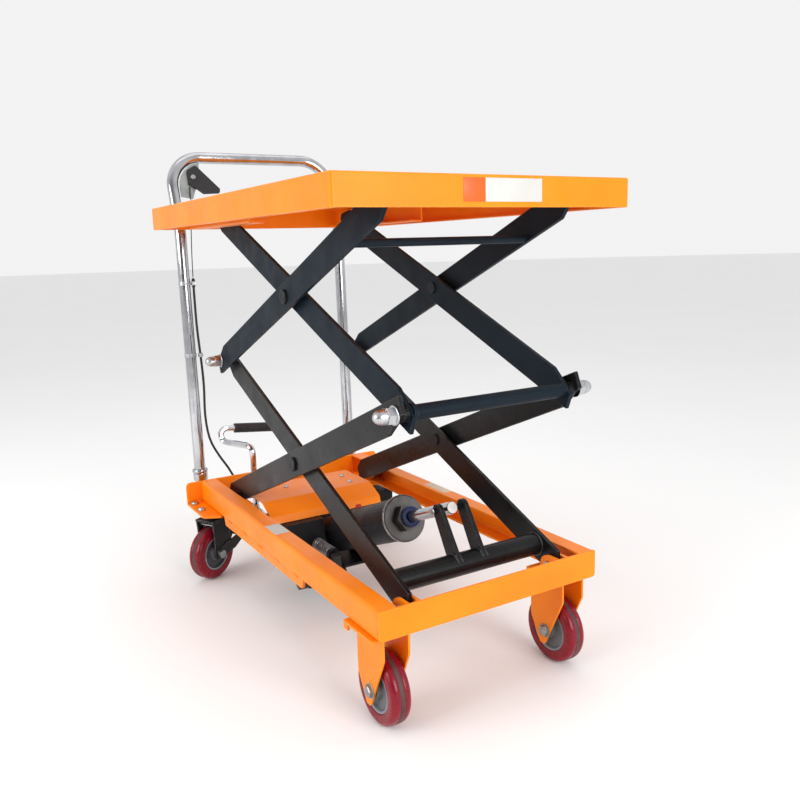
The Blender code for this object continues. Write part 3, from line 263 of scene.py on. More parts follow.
def pedal_look():
    """Chrome on the pedal bar, and black paint on its shaft and crank under the pump."""
    chrome, stained, black = (0.60, 0.60, 0.62), (0.46, 0.46, 0.48), (0.010, 0.011, 0.014)
    look = Look("pedal_chrome_and_paint")
    split = look.add("ShaderNodeSeparateXYZ")
    look.wire(look.place, split.inputs["Vector"])
    painted = look.ramp(split.outputs["X"], PEDAL_SPLIT, PEDAL_SPLIT + PEDAL_FADE)
    stain = look.ramp(look.noise(30.0, 5.0), 0.45, 0.75)
    metal = look.blend(stain, chrome, stained)
    look.colour(look.blend(painted, metal, black))
    look.wire(look.ramp(painted, 0.0, 1.0, 1.0, 0.0), look.shader.inputs["Metallic"])
    look.rough(look.ramp(painted, 0.0, 1.0, 0.11, 0.42))
    look.bump(look.noise(900.0, 3.0), 0.05, 0.0003)
    return look.material


PEDAL = pedal_look()

# The look of each CAD node, by the start of its name
NODE_LOOKS = (
    (ORANGE, ("platform_pan", "platform_rail", "rail_", "front_crossmember", "rear_crossmember", "fork_",
              "pump_cover")),
    (ARM, ("upper_inner_frame", "upper_outer_frame")),
    (LOWER_ARM, ("lower_inner_frame", "lower_outer_arm", "mid_front_axle")),
    (YOKE, ("caster_plate", "caster_yoke", "caster_brake")),
    (ZINC, ("mid_rear_bolt", "base_pin", "platform_pin", "base_roller", "platform_roller",
            "ram_pivot_pin", "plunger_spring")),
    (DULL_ZINC, ("lever_bracket",)),
    (BLACK, ("pump_block", "pump_tray", "lower_centre_pin", "upper_centre_pin", "pump_plunger")),
    (SATIN, ("ram_barrel",)),
    (CHROME, ("ram_rod", "handle_tube")),
    (PEDAL, ("foot_pedal",)),
    (GLAND, ("ram_gland",)),
    (TYRE, ("front_tyre", "caster_tyre")),
    (HUB, ("front_hub", "caster_hub")),
    (RUBBER, ("pedal_grip",)),
    (SHEATH, ("release_cable", "release_wire")),
    (PLASTIC, ("release_lever",)),
    (RED_PLASTIC, ("filler_plug",)),
)

for cad_name, cad_object in frame["nodes"].items():
    for look, starts in NODE_LOOKS:
        if cad_name.startswith(starts):
            cad_object.data.materials.clear()
            cad_object.data.materials.append(look)


# Shapes

def piece(name, shape, looks, body, angle=35.0):
    """A finished piece from a bmesh, which rides on a body; faces use the looks by their material index."""
    bmesh.ops.recalc_face_normals(shape, faces=shape.faces)
    mesh = bpy.data.meshes.new(name)
    shape.to_mesh(mesh)
    shape.free()
    for look in looks:
        mesh.materials.append(look)
    obj = bpy.data.objects.new(name, mesh)
    bpy.context.scene.collection.objects.link(obj)
    mesh.shade_smooth()
    mesh.set_sharp_from_angle(angle=math.radians(angle))
    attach(obj, body)
    return obj


def place(shape, verts, origin, along):
    """Moves verts from the local frame, with z along the axis, to where they belong."""
    turn = Vector(along).to_track_quat("Z", "Y").to_matrix().to_4x4()
    bmesh.ops.transform(shape, matrix=Matrix.Translation(Vector(origin)) @ turn, verts=verts)


def turned(shape, profile, origin, along, sides=48, looks=None, closed=False):
    """Adds a turned shape: (distance along, radius) points, with a look's number for each segment."""
    rings = []
    made = []
    for distance, radius in profile:
        if radius < 1e-6:
            ring = [shape.verts.new((0.0, 0.0, distance))]
        else:
            angles = [2.0 * math.pi * index / sides for index in range(sides)]
            ring = [shape.verts.new((radius * math.cos(a), radius * math.sin(a), distance)) for a in angles]
        rings.append(ring)
        made.extend(ring)
    pairs = list(zip(rings, rings[1:]))
    if closed:
        pairs.append((rings[-1], rings[0]))
    for number, (first, second) in enumerate(pairs):
        for index in range(sides):
            after = (index + 1) % sides
            corners = [first[index % len(first)], second[index % len(second)]]
            if len(second) > 1:
                corners.append(second[after])
            if len(first) > 1:
                corners.append(first[after])
            if len(corners) > 2:
                face = shape.faces.new(corners)
                face.material_index = looks[number] if looks else 0
    place(shape, made, origin, along)


def hexagonal(shape, origin, along, flats, height, turn=0.0):
    """Adds a hexagon with chamfered corners on its outer end."""
    reach = flats / math.sqrt(3.0)
    drop = 0.066 * flats
    inset = 0.09 * flats
    levels = ((0.0, reach), (height - drop, reach), (height, reach - inset))
    rings = []
    made = []
    for level, radius in levels:
        angles = [turn + math.radians(60.0 * index) for index in range(6)]
        ring = [shape.verts.new((radius * math.cos(a), radius * math.sin(a), level)) for a in angles]
        rings.append(ring)
        made.extend(ring)
    for first, second in zip(rings, rings[1:]):
        for index in range(6):
            after = (index + 1) % 6
            shape.faces.new((first[index], first[after], second[after], second[index]))
    shape.faces.new(rings[-1])
    shape.faces.new(list(reversed(rings[0])))
    place(shape, made, origin, along)


def swept(shape, path, radii, sides):
    """Adds a round bar along a path, with a radius for each of its points and closed ends."""
    rings = []
    up = Vector((0.0, 0.0, 1.0))
    for index, here in enumerate(path):
        ahead = (path[min(index + 1, len(path) - 1)] - path[max(index - 1, 0)]).normalized()
        if index == 0 and abs(ahead.dot(up)) > 0.9:
            up = Vector((0.0, 1.0, 0.0))
        side = ahead.cross(up).normalized()
        up = side.cross(ahead).normalized()
        angles = [2.0 * math.pi * step / sides for step in range(sides)]
        radius = radii[index]
        rings.append([shape.verts.new(here + (side * math.cos(a) + up * math.sin(a)) * radius) for a in angles])
    for first, second in zip(rings, rings[1:]):
        for step in range(sides):
            after = (step + 1) % sides
            shape.faces.new((first[step], first[after], second[after], second[step]))
    shape.faces.new(list(reversed(rings[0])))
    shape.faces.new(rings[-1])


WELD_RIPPLE = 0.0028
WELD_SIDES = 8


def bead(shape, path, radius):
    """Adds a weld bead along a path: a bar with the small swells of the weld pool."""
    fine = []
    for start, end in zip(path, path[1:]):
        steps = max(1, round((end - start).length / (WELD_RIPPLE / 4.0)))
        fine.extend(start.lerp(end, step / steps) for step in range(steps))
    fine.append(path[-1])
    radii = []
    travelled = 0.0
    for index, here in enumerate(fine):
        if index:
            travelled += (here - fine[index - 1]).length
        radii.append(radius * (0.86 + 0.16 * abs(math.sin(math.pi * travelled / WELD_RIPPLE))))
    radii[0] = radii[-1] = radius * 0.3
    swept(shape, fine, radii, WELD_SIDES)


def circle(origin, along, radius):
    """Points round a circle, the last on the first."""
    steps = 40
    turn = Vector(along).to_track_quat("Z", "Y").to_matrix()
    angles = [2.0 * math.pi * step / steps for step in range(steps + 1)]
    return [Vector(origin) + turn @ Vector((radius * math.cos(a), radius * math.sin(a), 0.0)) for a in angles]


def panel(shape, low, high, bevel, look=0):
    """Adds a box between two corners with its edges eased; look is its faces' material index."""
    made = bmesh.ops.create_cube(shape, size=1.0)
    size = Vector(high) - Vector(low)
    middle = (Vector(high) + Vector(low)) / 2.0
    matrix = Matrix.Translation(middle) @ Matrix.Diagonal((*size, 1.0))
    bmesh.ops.transform(shape, matrix=matrix, verts=made["verts"])
    for face in {face for vert in made["verts"] for face in vert.link_faces}:
        face.material_index = look
    edges = {edge for vert in made["verts"] for edge in vert.link_edges}
    bmesh.ops.bevel(shape, geom=list(edges), offset=bevel, segments=2, affect="EDGES", profile=0.5)


# Wheels

TYRE_HALF = 0.0182
TYRE_RADIUS = 0.0624
HUB_RADIUS = 0.0410
TREAD_HALF = 0.0048
SHOULDER = 0.0096
# The hub's outer half from its bore to the tyre: (distance from the middle, radius)
HUB_FACE = [(0.0188, 0.0070), (0.0190, 0.0100), (0.0202, 0.0108), (0.0202, 0.0142), (0.0196, 0.0152),
            (0.0165, 0.0160), (0.0120, 0.0178), (0.0112, 0.0190), (0.0108, 0.0335), (0.0116, 0.0346),
            (0.0150, 0.0362), (0.0163, 0.0368), (0.0169, 0.0376), (0.0169, 0.0396), (0.0163, 0.0404)]
HUB_RIM_FROM = 0.0365
HUB_BOSS_TO = 0.0170


def wheel(kind, side_name, body, spin):
    """A finer tyre with its scuffed tread band, and a finer hub with its rim ring and bearing boss."""
    middle = centre(f"{kind}_tyre_{side_name}")
    along = direction(spin)
    profile = [(-TYRE_HALF + 0.0008, HUB_RADIUS), (-TYRE_HALF, 0.0440), (-TYRE_HALF, 0.0520)]
    for step in range(7):
        angle = math.radians(90.0 * step / 6.0)
        profile.append((-TYRE_HALF + SHOULDER * (1.0 - math.cos(angle)),
                        TYRE_RADIUS - 0.0003 - SHOULDER * (1.0 - math.sin(angle))))
    profile += [(-TREAD_HALF - 0.0004, TYRE_RADIUS - 0.0001), (-TREAD_HALF, TYRE_RADIUS - 0.0005),
                (-TREAD_HALF + 0.0005, TYRE_RADIUS)]
    mirrored = [(-distance, radius) for distance, radius in reversed(profile)]
    section = profile + mirrored
    band = len(profile) - 1
    looks = [1 if abs(index - band) <= 1 else 0 for index in range(len(section))]
    shape = bmesh.new()
    turned(shape, section, middle, along, 72, looks, closed=True)
    tyre = piece(f"{kind}_tyre_fine_{side_name}", shape, (TYRE, TREAD), body, 50.0)
    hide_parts(f"{kind}_tyre_{side_name}")

    section = HUB_FACE + [(-distance, radius) for distance, radius in reversed(HUB_FACE)]
    looks = []
    for first, second in zip(section, section[1:] + section[:1]):
        radius = (first[1] + second[1]) / 2.0
        if radius > HUB_RIM_FROM:
            looks.append(1)
        elif radius < HUB_BOSS_TO:
            looks.append(2)
        else:
            looks.append(0)
    shape = bmesh.new()
    turned(shape, section, middle, along, 64, looks, closed=True)
    web_look = HUB if kind == "front" else HUB_DARK
    hub_looks = (web_look, HUB_RING, HUB_BOSS)
    hub = piece(f"{kind}_hub_fine_{side_name}", shape, hub_looks, body, 32.0)
    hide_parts(f"{kind}_hub_{side_name}")


for side_name, side in SIDES:
    wheel("front", side_name, f"front_wheel_{side_name}", f"front_wheel_spin_{side_name}")
    wheel("caster", side_name, f"caster_wheel_{side_name}", f"caster_wheel_spin_{side_name}")


# Caster brake straps inside each yoke

CASTER_TURN = math.radians(60.0)
STRAP_INNER = 0.0211
STRAP_OUTER = 0.0222

for side_name, side in SIDES:
    swivel = pivot(f"caster_swivel_{side_name}")
    turn = Matrix.Rotation(side * CASTER_TURN, 4, "Z")
    stand = Matrix.Translation(Vector((swivel.x, swivel.y, 0.0))) @ turn
    shape = bmesh.new()
    panel(shape, Vector((-0.0240, -0.0205, 0.1325)), Vector((0.0440, 0.0205, 0.1345)), 0.0004)
    for sign in (-1.0, 1.0):
        inner, outer = sorted((sign * STRAP_INNER, sign * STRAP_OUTER))
        panel(shape, Vector((0.0230, inner, 0.0760)), Vector((0.0330, outer, 0.1335)), 0.0003)
        panel(shape, Vector((-0.0040, inner, 0.0880)), Vector((0.0310, outer, 0.0960)), 0.0003)
    bmesh.ops.transform(shape, matrix=stand, verts=shape.verts)
    piece(f"caster_strap_{side_name}", shape, (ZINC,), f"caster_{side_name}")


# Bolts and pins

FORK_OUTER_FACE = 0.2111
FORK_INNER_FACE = 0.1599
AXLE_FLATS = 0.0188
AXLE_HEAD = 0.0072
YOKE_FACE = 0.0300


def axle_bolt(name, spot, along, body, flats, height, turn):
    """A washer and a chamfered hexagon, over a CAD bolt head."""
    shape = bmesh.new()
    reach = flats / math.sqrt(3.0)
    seat = 0.0014
    washer = [(0.0, 0.0), (0.0, reach * 1.16), (0.0011, reach * 1.20), (0.0016, reach * 1.14), (0.0016, 0.0)]
    turned(shape, washer, spot, along, 32)
    hexagonal(shape, spot + Vector(along) * seat, along, flats, height - seat, turn)
    turned(shape, [(0.0, 0.0), (0.0, reach * 0.52), (0.0014, reach * 0.46), (0.0018, 0.0)],
           spot + Vector(along) * (height - 0.0005), along, 20)
    piece(name, shape, (DULL_ZINC,), body)


for side_name, side in SIDES:
    wheel_at = pivot(f"front_wheel_spin_{side_name}")
    axle_bolt(f"front_axle_head_{side_name}", Vector((wheel_at.x, side * FORK_OUTER_FACE, wheel_at.z)),
              (0.0, side, 0.0), "base", AXLE_FLATS, AXLE_HEAD, -side * 0.3)
    axle_bolt(f"front_axle_nut_{side_name}", Vector((wheel_at.x, side * FORK_INNER_FACE, wheel_at.z)),
              (0.0, -side, 0.0), "base", AXLE_FLATS, AXLE_HEAD, side * 0.1)
    caster_at = pivot(f"caster_wheel_spin_{side_name}")
    axle = direction(f"caster_wheel_spin_{side_name}")
    for end_name, sign in (("a", 1.0), ("b", -1.0)):
        shape = bmesh.new()
        spot = caster_at + axle * sign * YOKE_FACE
        turned(shape, [(0.0, 0.0), (0.0, 0.0098), (0.0062, 0.0098), (0.0074, 0.0080), (0.0074, 0.0)], spot,
               axle * sign, 24)
        cap_name = f"caster_axle_cap_{side_name}_{end_name}"
        piece(cap_name, shape, (DULL_ZINC,), f"caster_{side_name}")

ARM_FACE = 0.1788
NUT_FLATS = 0.0247
NUT_HEIGHT = 0.0152
NUT_SEAT = 0.0020
DOME_RADIUS = 0.0118
DOME_RISE = 0.0146
DOME_STEPS = 8

def domed_nut(name, spot, side, body):
    """A finer acorn nut with its washer, over the CAD one."""
    shape = bmesh.new()
    along = Vector((0.0, side, 0.0))
    washer = [(0.0, 0.0), (0.0, 0.0154), (0.0019, 0.0154), (0.0025, 0.0146), (0.0025, 0.0)]
    turned(shape, washer, spot, along, 36)
    hexagonal(shape, spot + along * NUT_SEAT, along, NUT_FLATS, NUT_HEIGHT, -side * 0.2)
    dome = [(0.0, 0.0), (0.0, DOME_RADIUS + 0.0001), (0.0068, DOME_RADIUS)]
    for step in range(1, DOME_STEPS):
        angle = math.radians(90.0 * step / DOME_STEPS)
        dome.append((0.0070 + DOME_RISE * math.sin(angle), DOME_RADIUS * math.cos(angle)))
    dome.append((0.0070 + DOME_RISE, 0.0))
    turned(shape, dome, spot + along * 0.0150, along, 36)
    piece(name, shape, (ZINC,), body)


CAP_SEAT = 0.0026
front = centre("mid_front_axle")
rear = pivot("mid_rear")
for side_name, side in SIDES:
    domed_nut(f"front_domed_nut_{side_name}", Vector((front.x, side * ARM_FACE, front.z)), side, "lower_outer")
    domed_nut(f"rear_domed_nut_{side_name}", Vector((rear.x, side * ARM_FACE, rear.z)), side, "lower_inner")
    for level, body in (("lower", "lower_outer"), ("upper", "upper_outer")):
        low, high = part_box(f"{level}_centre_pin_{side_name}")
        cross = pivot(f"{level}_cross")
        outer = max(abs(low.y), abs(high.y))
        shape = bmesh.new()
        turned(shape, [(0.0, 0.0), (0.0, 0.0138), (0.0019, 0.0138), (0.0031, 0.0122), (0.0031, 0.0062),
                       (0.0025, 0.0054), (0.0025, 0.0)],
               Vector((cross.x, side * (outer - CAP_SEAT), cross.z)), (0.0, side, 0.0), 36)
        piece(f"{level}_centre_cap_{side_name}", shape, (BLACK,), body)


# Pump cover screws

SCREW_SPOTS = ((-0.1459, 0.067), (-0.1969, -0.076), (-0.1999, 0.073))
SCREW_SEAT = 0.0030    # below the top of the CAD cover, screw heads included
SCREW_PROFILE = [(0.0, 0.0), (0.0, 0.0062), (0.0010, 0.0062), (0.0012, 0.0050), (0.0026, 0.0048),
                 (0.0038, 0.0040), (0.0044, 0.0022), (0.0038, 0.0018), (0.0038, 0.0)]
screw_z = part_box("pump_cover")[1].z - SCREW_SEAT
for number, (x, y) in enumerate(SCREW_SPOTS):
    shape = bmesh.new()
    turned(shape, SCREW_PROFILE, Vector((x, y, screw_z)), (0.0, 0.0, 1.0), 24)
    piece(f"cover_screw_{number + 1}", shape, (ZINC,), "base")


# Ram

ram_pivot = pivot("ram_swing")
ram_axis = direction("ram_stroke")
GLAND_START = 0.3110
ROD_END = 0.49716
ROD_FACE = 0.0104
RAM_PIN = Vector((0.3671, 0.0, 0.310))
RAM_PIN_REACH = 0.0334


def on_ram(distance):
    """A point on the ram's axis, a distance from its pivot."""
    return ram_pivot + ram_axis * distance


shape = bmesh.new()
turned(shape, [(0.0008, 0.0430), (0.0012, 0.0462), (0.0022, 0.0466), (0.0064, 0.0466), (0.0074, 0.0462),
               (0.0078, 0.0430)], on_ram(GLAND_START), ram_axis, 64, closed=True)
piece("gland_bright_ring", shape, (SILVER,), "ram")
shape = bmesh.new()
turned(shape, [(0.0350, 0.0122), (0.0350, 0.0198), (0.0382, 0.0196), (0.0394, 0.0176), (0.0394, 0.0122)],
       on_ram(GLAND_START), ram_axis, 48, closed=True)
piece("rod_wiper_seal", shape, (NAVY,), "ram")
shape = bmesh.new()
turned(shape, [(0.0, 0.0), (0.0, ROD_FACE), (0.0004, ROD_FACE - 0.0004), (0.0004, 0.0)], on_ram(ROD_END),
       ram_axis, 40)
piece("rod_end_face", shape, (SATIN_STEEL,), "ram_piston")

for side_name, side in SIDES:
    shape = bmesh.new()
    turned(shape, [(0.0, 0.0), (0.0, 0.0062), (0.0012, 0.0062), (0.0020, 0.0052), (0.0020, 0.0)],
           RAM_PIN + Vector((0.0, side * RAM_PIN_REACH, 0.0)), (0.0, side, 0.0), 24)
    piece(f"ram_pin_cap_{side_name}", shape, (ZINC,), "lower_inner")


# Spring

WIRE = 0.0010
SPRING_TURNS = 9
SPRING_STEPS = 28
low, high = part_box("plunger_spring")
reach = (high.y - low.y) / 2.0 - WIRE
middle = (low + high) / 2.0
path = []
for step in range(SPRING_TURNS * SPRING_STEPS + 1):
    share = step / (SPRING_TURNS * SPRING_STEPS)
    angle = 2.0 * math.pi * step / SPRING_STEPS
    x = low.x + WIRE + (high.x - low.x - 2.0 * WIRE) * share
    path.append(Vector((x, middle.y + reach * math.cos(angle), middle.z + reach * math.sin(angle))))
shape = bmesh.new()
swept(shape, path, [WIRE] * len(path), 10)
spring = piece("plunger_spring_fine", shape, (ZINC,), "base")
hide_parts("plunger_spring")
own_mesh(spring)


# Pedal grip with its ribs

GRIP_START = Vector((-0.4993, -0.0880, 0.31415))
GRIP_ALONG = Vector((0.002, 0.1645, -0.017)).normalized()
GRIP_LENGTH = 0.1278
GRIP_RADIUS = 0.0127
GRIP_GROOVE = 0.0120
GRIP_RIBS = 22
pitch = (GRIP_LENGTH - 0.010) / GRIP_RIBS
profile = [(0.0, 0.0), (0.0, 0.0090), (0.0, 0.0118), (0.0012, 0.0126)]
for rib in range(GRIP_RIBS):
    start = 0.004 + (GRIP_LENGTH - 0.010) * rib / GRIP_RIBS
    profile += [(start, GRIP_RADIUS), (start + 0.15 * pitch, GRIP_GROOVE), (start + 0.45 * pitch, GRIP_GROOVE),
                (start + 0.60 * pitch, GRIP_RADIUS)]
profile += [(GRIP_LENGTH - 0.0045, GRIP_RADIUS), (GRIP_LENGTH - 0.0015, 0.0118), (GRIP_LENGTH, 0.0100),
            (GRIP_LENGTH, 0.0)]
shape = bmesh.new()
turned(shape, profile, GRIP_START, GRIP_ALONG, 32)
grip = piece("pedal_grip_ribbed", shape, (RUBBER,), "foot_lever", 28.0)
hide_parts("pedal_grip")


# Welds

CROSS_TUBE = Vector((0.4241, 0.0, 0.2285))
CROSS_TUBE_RADIUS = 0.0206
CROSS_TUBE_END = 0.1508
LUG_FACES = (0.0218, 0.0302)
# The foot of each lug on the tube: (X, Z) from the tube's axis
LUG_FOOT = ((-0.0185, 0.0085), (-0.0060, 0.0190), (0.0060, 0.0194), (0.0175, 0.0100))
PLATFORM_RAIL_FACE = 0.2006
BASE_RAIL_DEPTH = 0.0356
STRIP_FACE = 0.2226
STRIP_Z = 0.1742
STITCHES = 5


def weld_piece(name, paths, radius, body, look):
    """One piece with a weld bead along each path."""
    shape = bmesh.new()
    for path in paths:
        bead(shape, path, radius)
    piece(name, shape, (look,), body, 60.0)


paths = []
for _, side in SIDES:
    end = CROSS_TUBE + Vector((0.0, side * CROSS_TUBE_END, 0.0))
    paths.append(circle(end, (0.0, side, 0.0), CROSS_TUBE_RADIUS))
    for face in LUG_FACES:
        paths.append([CROSS_TUBE + Vector((x, side * face, z)) for x, z in LUG_FOOT])
weld_piece("cross_tube_welds", paths, 0.0024, "lower_inner", WELD)

paths = []
for side_name, side in SIDES:
    rail_low, rail_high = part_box(f"platform_rail_{side_name}")
    weld_y = side * PLATFORM_RAIL_FACE
    weld_z = rail_high.z - 0.0006
    for index in range(STITCHES):
        x = rail_low.x + 0.03 + index * (rail_high.x - rail_low.x - 0.08) / (STITCHES - 1)
        paths.append([Vector((x, weld_y, weld_z)), Vector((x + 0.022, weld_y, weld_z))])
weld_piece("platform_rail_welds", paths, 0.0018, "platform", ORANGE)

rail_low, rail_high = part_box("rail_right")
paths = []
for _, side in SIDES:
    inner = side * (abs(rail_low.y) - BASE_RAIL_DEPTH - 0.0004)
    for x in (rail_high.x + 0.0004, rail_low.x - 0.0004):
        paths.append([Vector((x, inner, 0.1775)), Vector((x, inner, 0.2215))])
    for index in range(STITCHES):
        x = -0.185 + 0.090 * index
        paths.append([Vector((x, side * STRIP_FACE, STRIP_Z)), Vector((x + 0.018, side * STRIP_FACE, STRIP_Z))])
weld_piece("base_rail_welds", paths, 0.0017, "base", ORANGE)


# Blank labels

LABEL_THICK = 0.00035
LABEL_BEVEL = 0.00008


def label(name, low, high, looks, body, split=None):
    """A thin blank label; split gives the share of its width in the first look."""
    shape = bmesh.new()
    if split is None:
        panel(shape, low, high, LABEL_BEVEL)
    else:
        middle_y = low[1] + (high[1] - low[1]) * split
        panel(shape, low, (high[0], middle_y, high[2]), LABEL_BEVEL)
        panel(shape, (low[0], middle_y, low[2]), high, LABEL_BEVEL, 1)
    piece(name, shape, looks, body)


right_low, right_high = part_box("rail_right")
label("rail_label_right", (0.0321, right_low.y + 0.0040, right_high.z),
      (0.0901, right_high.y - 0.0010, right_high.z + LABEL_THICK), (WHITE_LABEL,), "base")
left_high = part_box("rail_left")[1]
label("rail_label_left", (-0.023, left_high.y - 0.028, left_high.z),
      (0.062, left_high.y - 0.006, left_high.z + LABEL_THICK), (BEIGE_LABEL,), "base")
pan_low, pan_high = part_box("platform_pan")
label("platform_label", (pan_high.x, -0.062, pan_low.z + 0.008),
      (pan_high.x + LABEL_THICK, 0.088, pan_low.z + 0.043), (AMBER_LABEL, WHITE_LABEL), "platform", 0.27)


# Handle, a finer tube with turned foot collars

HANDLE_FOOT = (-0.4229, 0.1749)
HANDLE_BEND = (-0.4349, 0.825)
HANDLE_TOP = (-0.4899, 0.997)
HANDLE_HALF = 0.209
HANDLE_RADIUS = 0.0135
HANDLE_CORNER = 0.077
COLLAR_Z = 0.2130
COLLAR_RISE = 0.038    # along the post from its foot
COLLAR_PROFILE = [(0.0, 0.0130), (0.0, 0.0168), (0.0012, 0.0178), (0.0165, 0.0178), (0.0185, 0.0174),
                  (0.0195, 0.0184), (0.0215, 0.0192), (0.0260, 0.0192), (0.0280, 0.0182), (0.0290, 0.0160),
                  (0.0290, 0.0130)]


def bent(corners, radius, steps):
    """A path through corners, with each inner one rounded."""
    path = [corners[0]]
    for before, here, after in zip(corners, corners[1:], corners[2:]):
        to_before = (before - here).normalized()
        to_after = (after - here).normalized()
        half = to_before.angle(to_after) / 2.0
        reach = radius / math.tan(half)
        middle = here + (to_before + to_after).normalized() * (radius / math.sin(half))
        start = here + to_before * reach - middle
        end = here + to_after * reach - middle
        sweep = start.angle(end)
        for step in range(steps + 1):
            turned_by = sweep * step / steps
            arc = start * math.sin(sweep - turned_by) + end * math.sin(turned_by)
            path.append(middle + arc / math.sin(sweep))
    path.append(corners[-1])
    return path


def on_side(point, side):
    """A point of the handle's side view, on one of its two posts."""
    return Vector((point[0], side * HANDLE_HALF, point[1]))


corners = [on_side(point, -1.0) for point in (HANDLE_FOOT, HANDLE_BEND, HANDLE_TOP)]
corners += [on_side(point, 1.0) for point in (HANDLE_TOP, HANDLE_BEND, HANDLE_FOOT)]
path = bent(corners, HANDLE_CORNER, 16)
shape = bmesh.new()
swept(shape, path, [HANDLE_RADIUS] * len(path), 32)
lean = (HANDLE_BEND[0] - HANDLE_FOOT[0]) / (HANDLE_BEND[1] - HANDLE_FOOT[1])
for _, side in SIDES:
    foot = Vector((HANDLE_FOOT[0] + lean * COLLAR_RISE, side * HANDLE_HALF, COLLAR_Z))
    turned(shape, COLLAR_PROFILE, foot, (lean, 0.0, 1.0), 40, closed=True)
handle = piece("handle_tube_fine", shape, (CHROME,), "base", 40.0)
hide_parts("handle_tube")


# Cable clips on the handle post and caster bolts

CLIP_SPOTS = ((0.6985, -0.4242, -0.1900), (0.5250, -0.4222, -0.1866))    # height, then the cable's X and Y
CLIP_HALF = 0.0045


def clip_ring(shape, inner, outer, origin, along, sides):
    """Adds a flat ring round an axis."""
    section = [(-CLIP_HALF, inner), (-CLIP_HALF, outer), (CLIP_HALF, outer), (CLIP_HALF, inner)]
    turned(shape, section, origin, along, sides, closed=True)


for number, (height, cable_x, cable_y) in enumerate(CLIP_SPOTS):
    post = Vector((HANDLE_FOOT[0] + lean * (height - HANDLE_FOOT[1]), -HANDLE_HALF, height))
    shape = bmesh.new()
    clip_ring(shape, 0.0136, 0.0144, post, (lean, 0.0, 1.0), 32)
    clip = Vector((cable_x, cable_y, height))
    clip_ring(shape, 0.0044, 0.0054, clip, (0.0, 0.0, 1.0), 20)
    hexagonal(shape, clip + Vector((0.0040, 0.0010, 0.0)), (1.0, 0.0, 0.0), 0.0075, 0.0042)
    piece(f"cable_clip_{number + 1}", shape, (ZINC,), "base")

FLANGE_TOP = 0.1746
BOLT_SPOTS = ((-0.0285, 0.0480), (0.0270, 0.0480), (-0.0285, -0.0450), (0.0270, -0.0450))
BOLT_PROFILE = [(0.0, 0.0), (0.0, 0.0092), (0.0012, 0.0094), (0.0016, 0.0086), (0.0040, 0.0080),
                (0.0058, 0.0060), (0.0066, 0.0)]

for side_name, side in SIDES:
    swivel = pivot(f"caster_swivel_{side_name}")
    shape = bmesh.new()
    for ahead_by, outward in BOLT_SPOTS:
        spot = Vector((swivel.x + ahead_by, swivel.y + side * outward, FLANGE_TOP))
        turned(shape, BOLT_PROFILE, spot, (0.0, 0.0, 1.0), 24)
    piece(f"caster_bolts_{side_name}", shape, (ZINC,), "base")


# Floor, light and camera

FLOOR_RADIUS = 40.0
AIM = (0.0, 0.0, 0.5)
SKY_FACING = (0.70, -0.55, -0.12)
SKY_RANGE = (("From Min", 0.20), ("From Max", 0.82), ("To Min", 0.97), ("To Max", 0.20))
SKY_STRENGTH = 0.92

floor_mesh = bpy.data.meshes.new("floor")
floor_shape = bmesh.new()
bmesh.ops.create_circle(floor_shape, cap_ends=True, segments=64, radius=FLOOR_RADIUS)
floor_shape.to_mesh(floor_mesh)
floor_shape.free()
floor = bpy.data.objects.new("floor", floor_mesh)
bpy.context.scene.collection.objects.link(floor)
floor_look = Look("pale_floor", Roughness=0.75)
floor_look.colour(floor_look.blend(floor_look.noise(1.5, 2.0), (0.95, 0.95, 0.95), (0.92, 0.92, 0.92)))
floor_mesh.materials.append(floor_look.material)


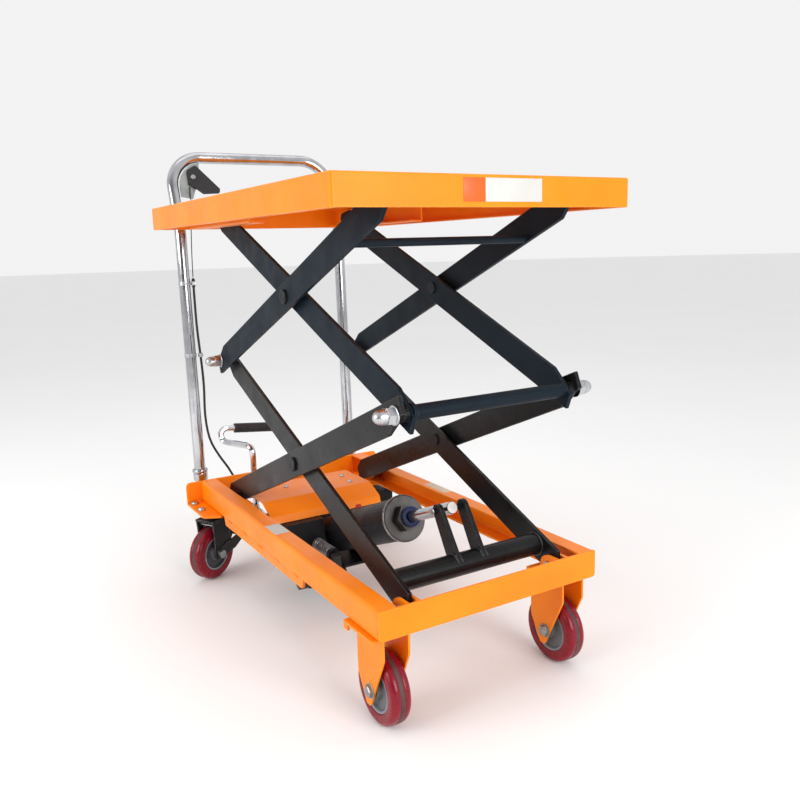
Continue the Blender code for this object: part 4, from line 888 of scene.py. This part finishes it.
def softbox(name, spot, target, width, height, energy):
    """A large rectangular light that faces a point."""
    data = bpy.data.lights.new(name, "AREA")
    data.shape = "RECTANGLE"
    data.size = width
    data.size_y = height
    data.energy = energy
    lamp = bpy.data.objects.new(name, data)
    lamp.location = spot
    lamp.rotation_euler = (Vector(target) - Vector(spot)).to_track_quat("-Z", "Y").to_euler()
    bpy.context.scene.collection.objects.link(lamp)


softbox("key", (0.2, -3.0, 1.5), AIM, 2.2, 1.5, 50.0)
softbox("front", (3.2, 0.3, 1.3), AIM, 1.6, 1.4, 58.0)
softbox("top", (-0.3, 0.3, 3.2), AIM, 2.0, 2.0, 10.0)

world = bpy.data.worlds.new("studio")
bpy.context.scene.world = world
world.use_nodes = True
sky = world.node_tree
backdrop = sky.nodes["Background"]
place_at = sky.nodes.new("ShaderNodeTexCoord")
facing = sky.nodes.new("ShaderNodeVectorMath")
facing.operation = "DOT_PRODUCT"
facing.inputs[1].default_value = SKY_FACING
sky.links.new(place_at.outputs["Generated"], facing.inputs[0])
shade = sky.nodes.new("ShaderNodeMapRange")
shade.interpolation_type = "SMOOTHSTEP"
for socket, number in SKY_RANGE:
    shade.inputs[socket].default_value = number
sky.links.new(facing.outputs["Value"], shade.inputs["Value"])
sky.links.new(shade.outputs["Result"], backdrop.inputs["Color"])
backdrop.inputs["Strength"].default_value = SKY_STRENGTH

bpy.context.scene.view_settings.view_transform = "Standard"

ahead = Vector((math.cos(CAMERA_AZIMUTH) * math.cos(CAMERA_ELEVATION),
                math.sin(CAMERA_AZIMUTH) * math.cos(CAMERA_ELEVATION), math.sin(CAMERA_ELEVATION)))
level_right = ahead.cross(Vector((0.0, 0.0, 1.0))).normalized()
level_up = level_right.cross(ahead)
camera_right = level_right * math.cos(CAMERA_ROLL) + level_up * math.sin(CAMERA_ROLL)
camera_up = level_up * math.cos(CAMERA_ROLL) - level_right * math.sin(CAMERA_ROLL)
camera_data = bpy.data.cameras.new("camera")
camera_data.sensor_width = 36.0
camera_data.lens = CAMERA_LENS
camera = bpy.data.objects.new("camera", camera_data)
camera_turn = Matrix((camera_right, camera_up, -ahead)).transposed().to_4x4()
camera.matrix_world = Matrix.Translation(CAMERA_AT) @ camera_turn
bpy.context.scene.collection.objects.link(camera)
bpy.context.scene.camera = camera
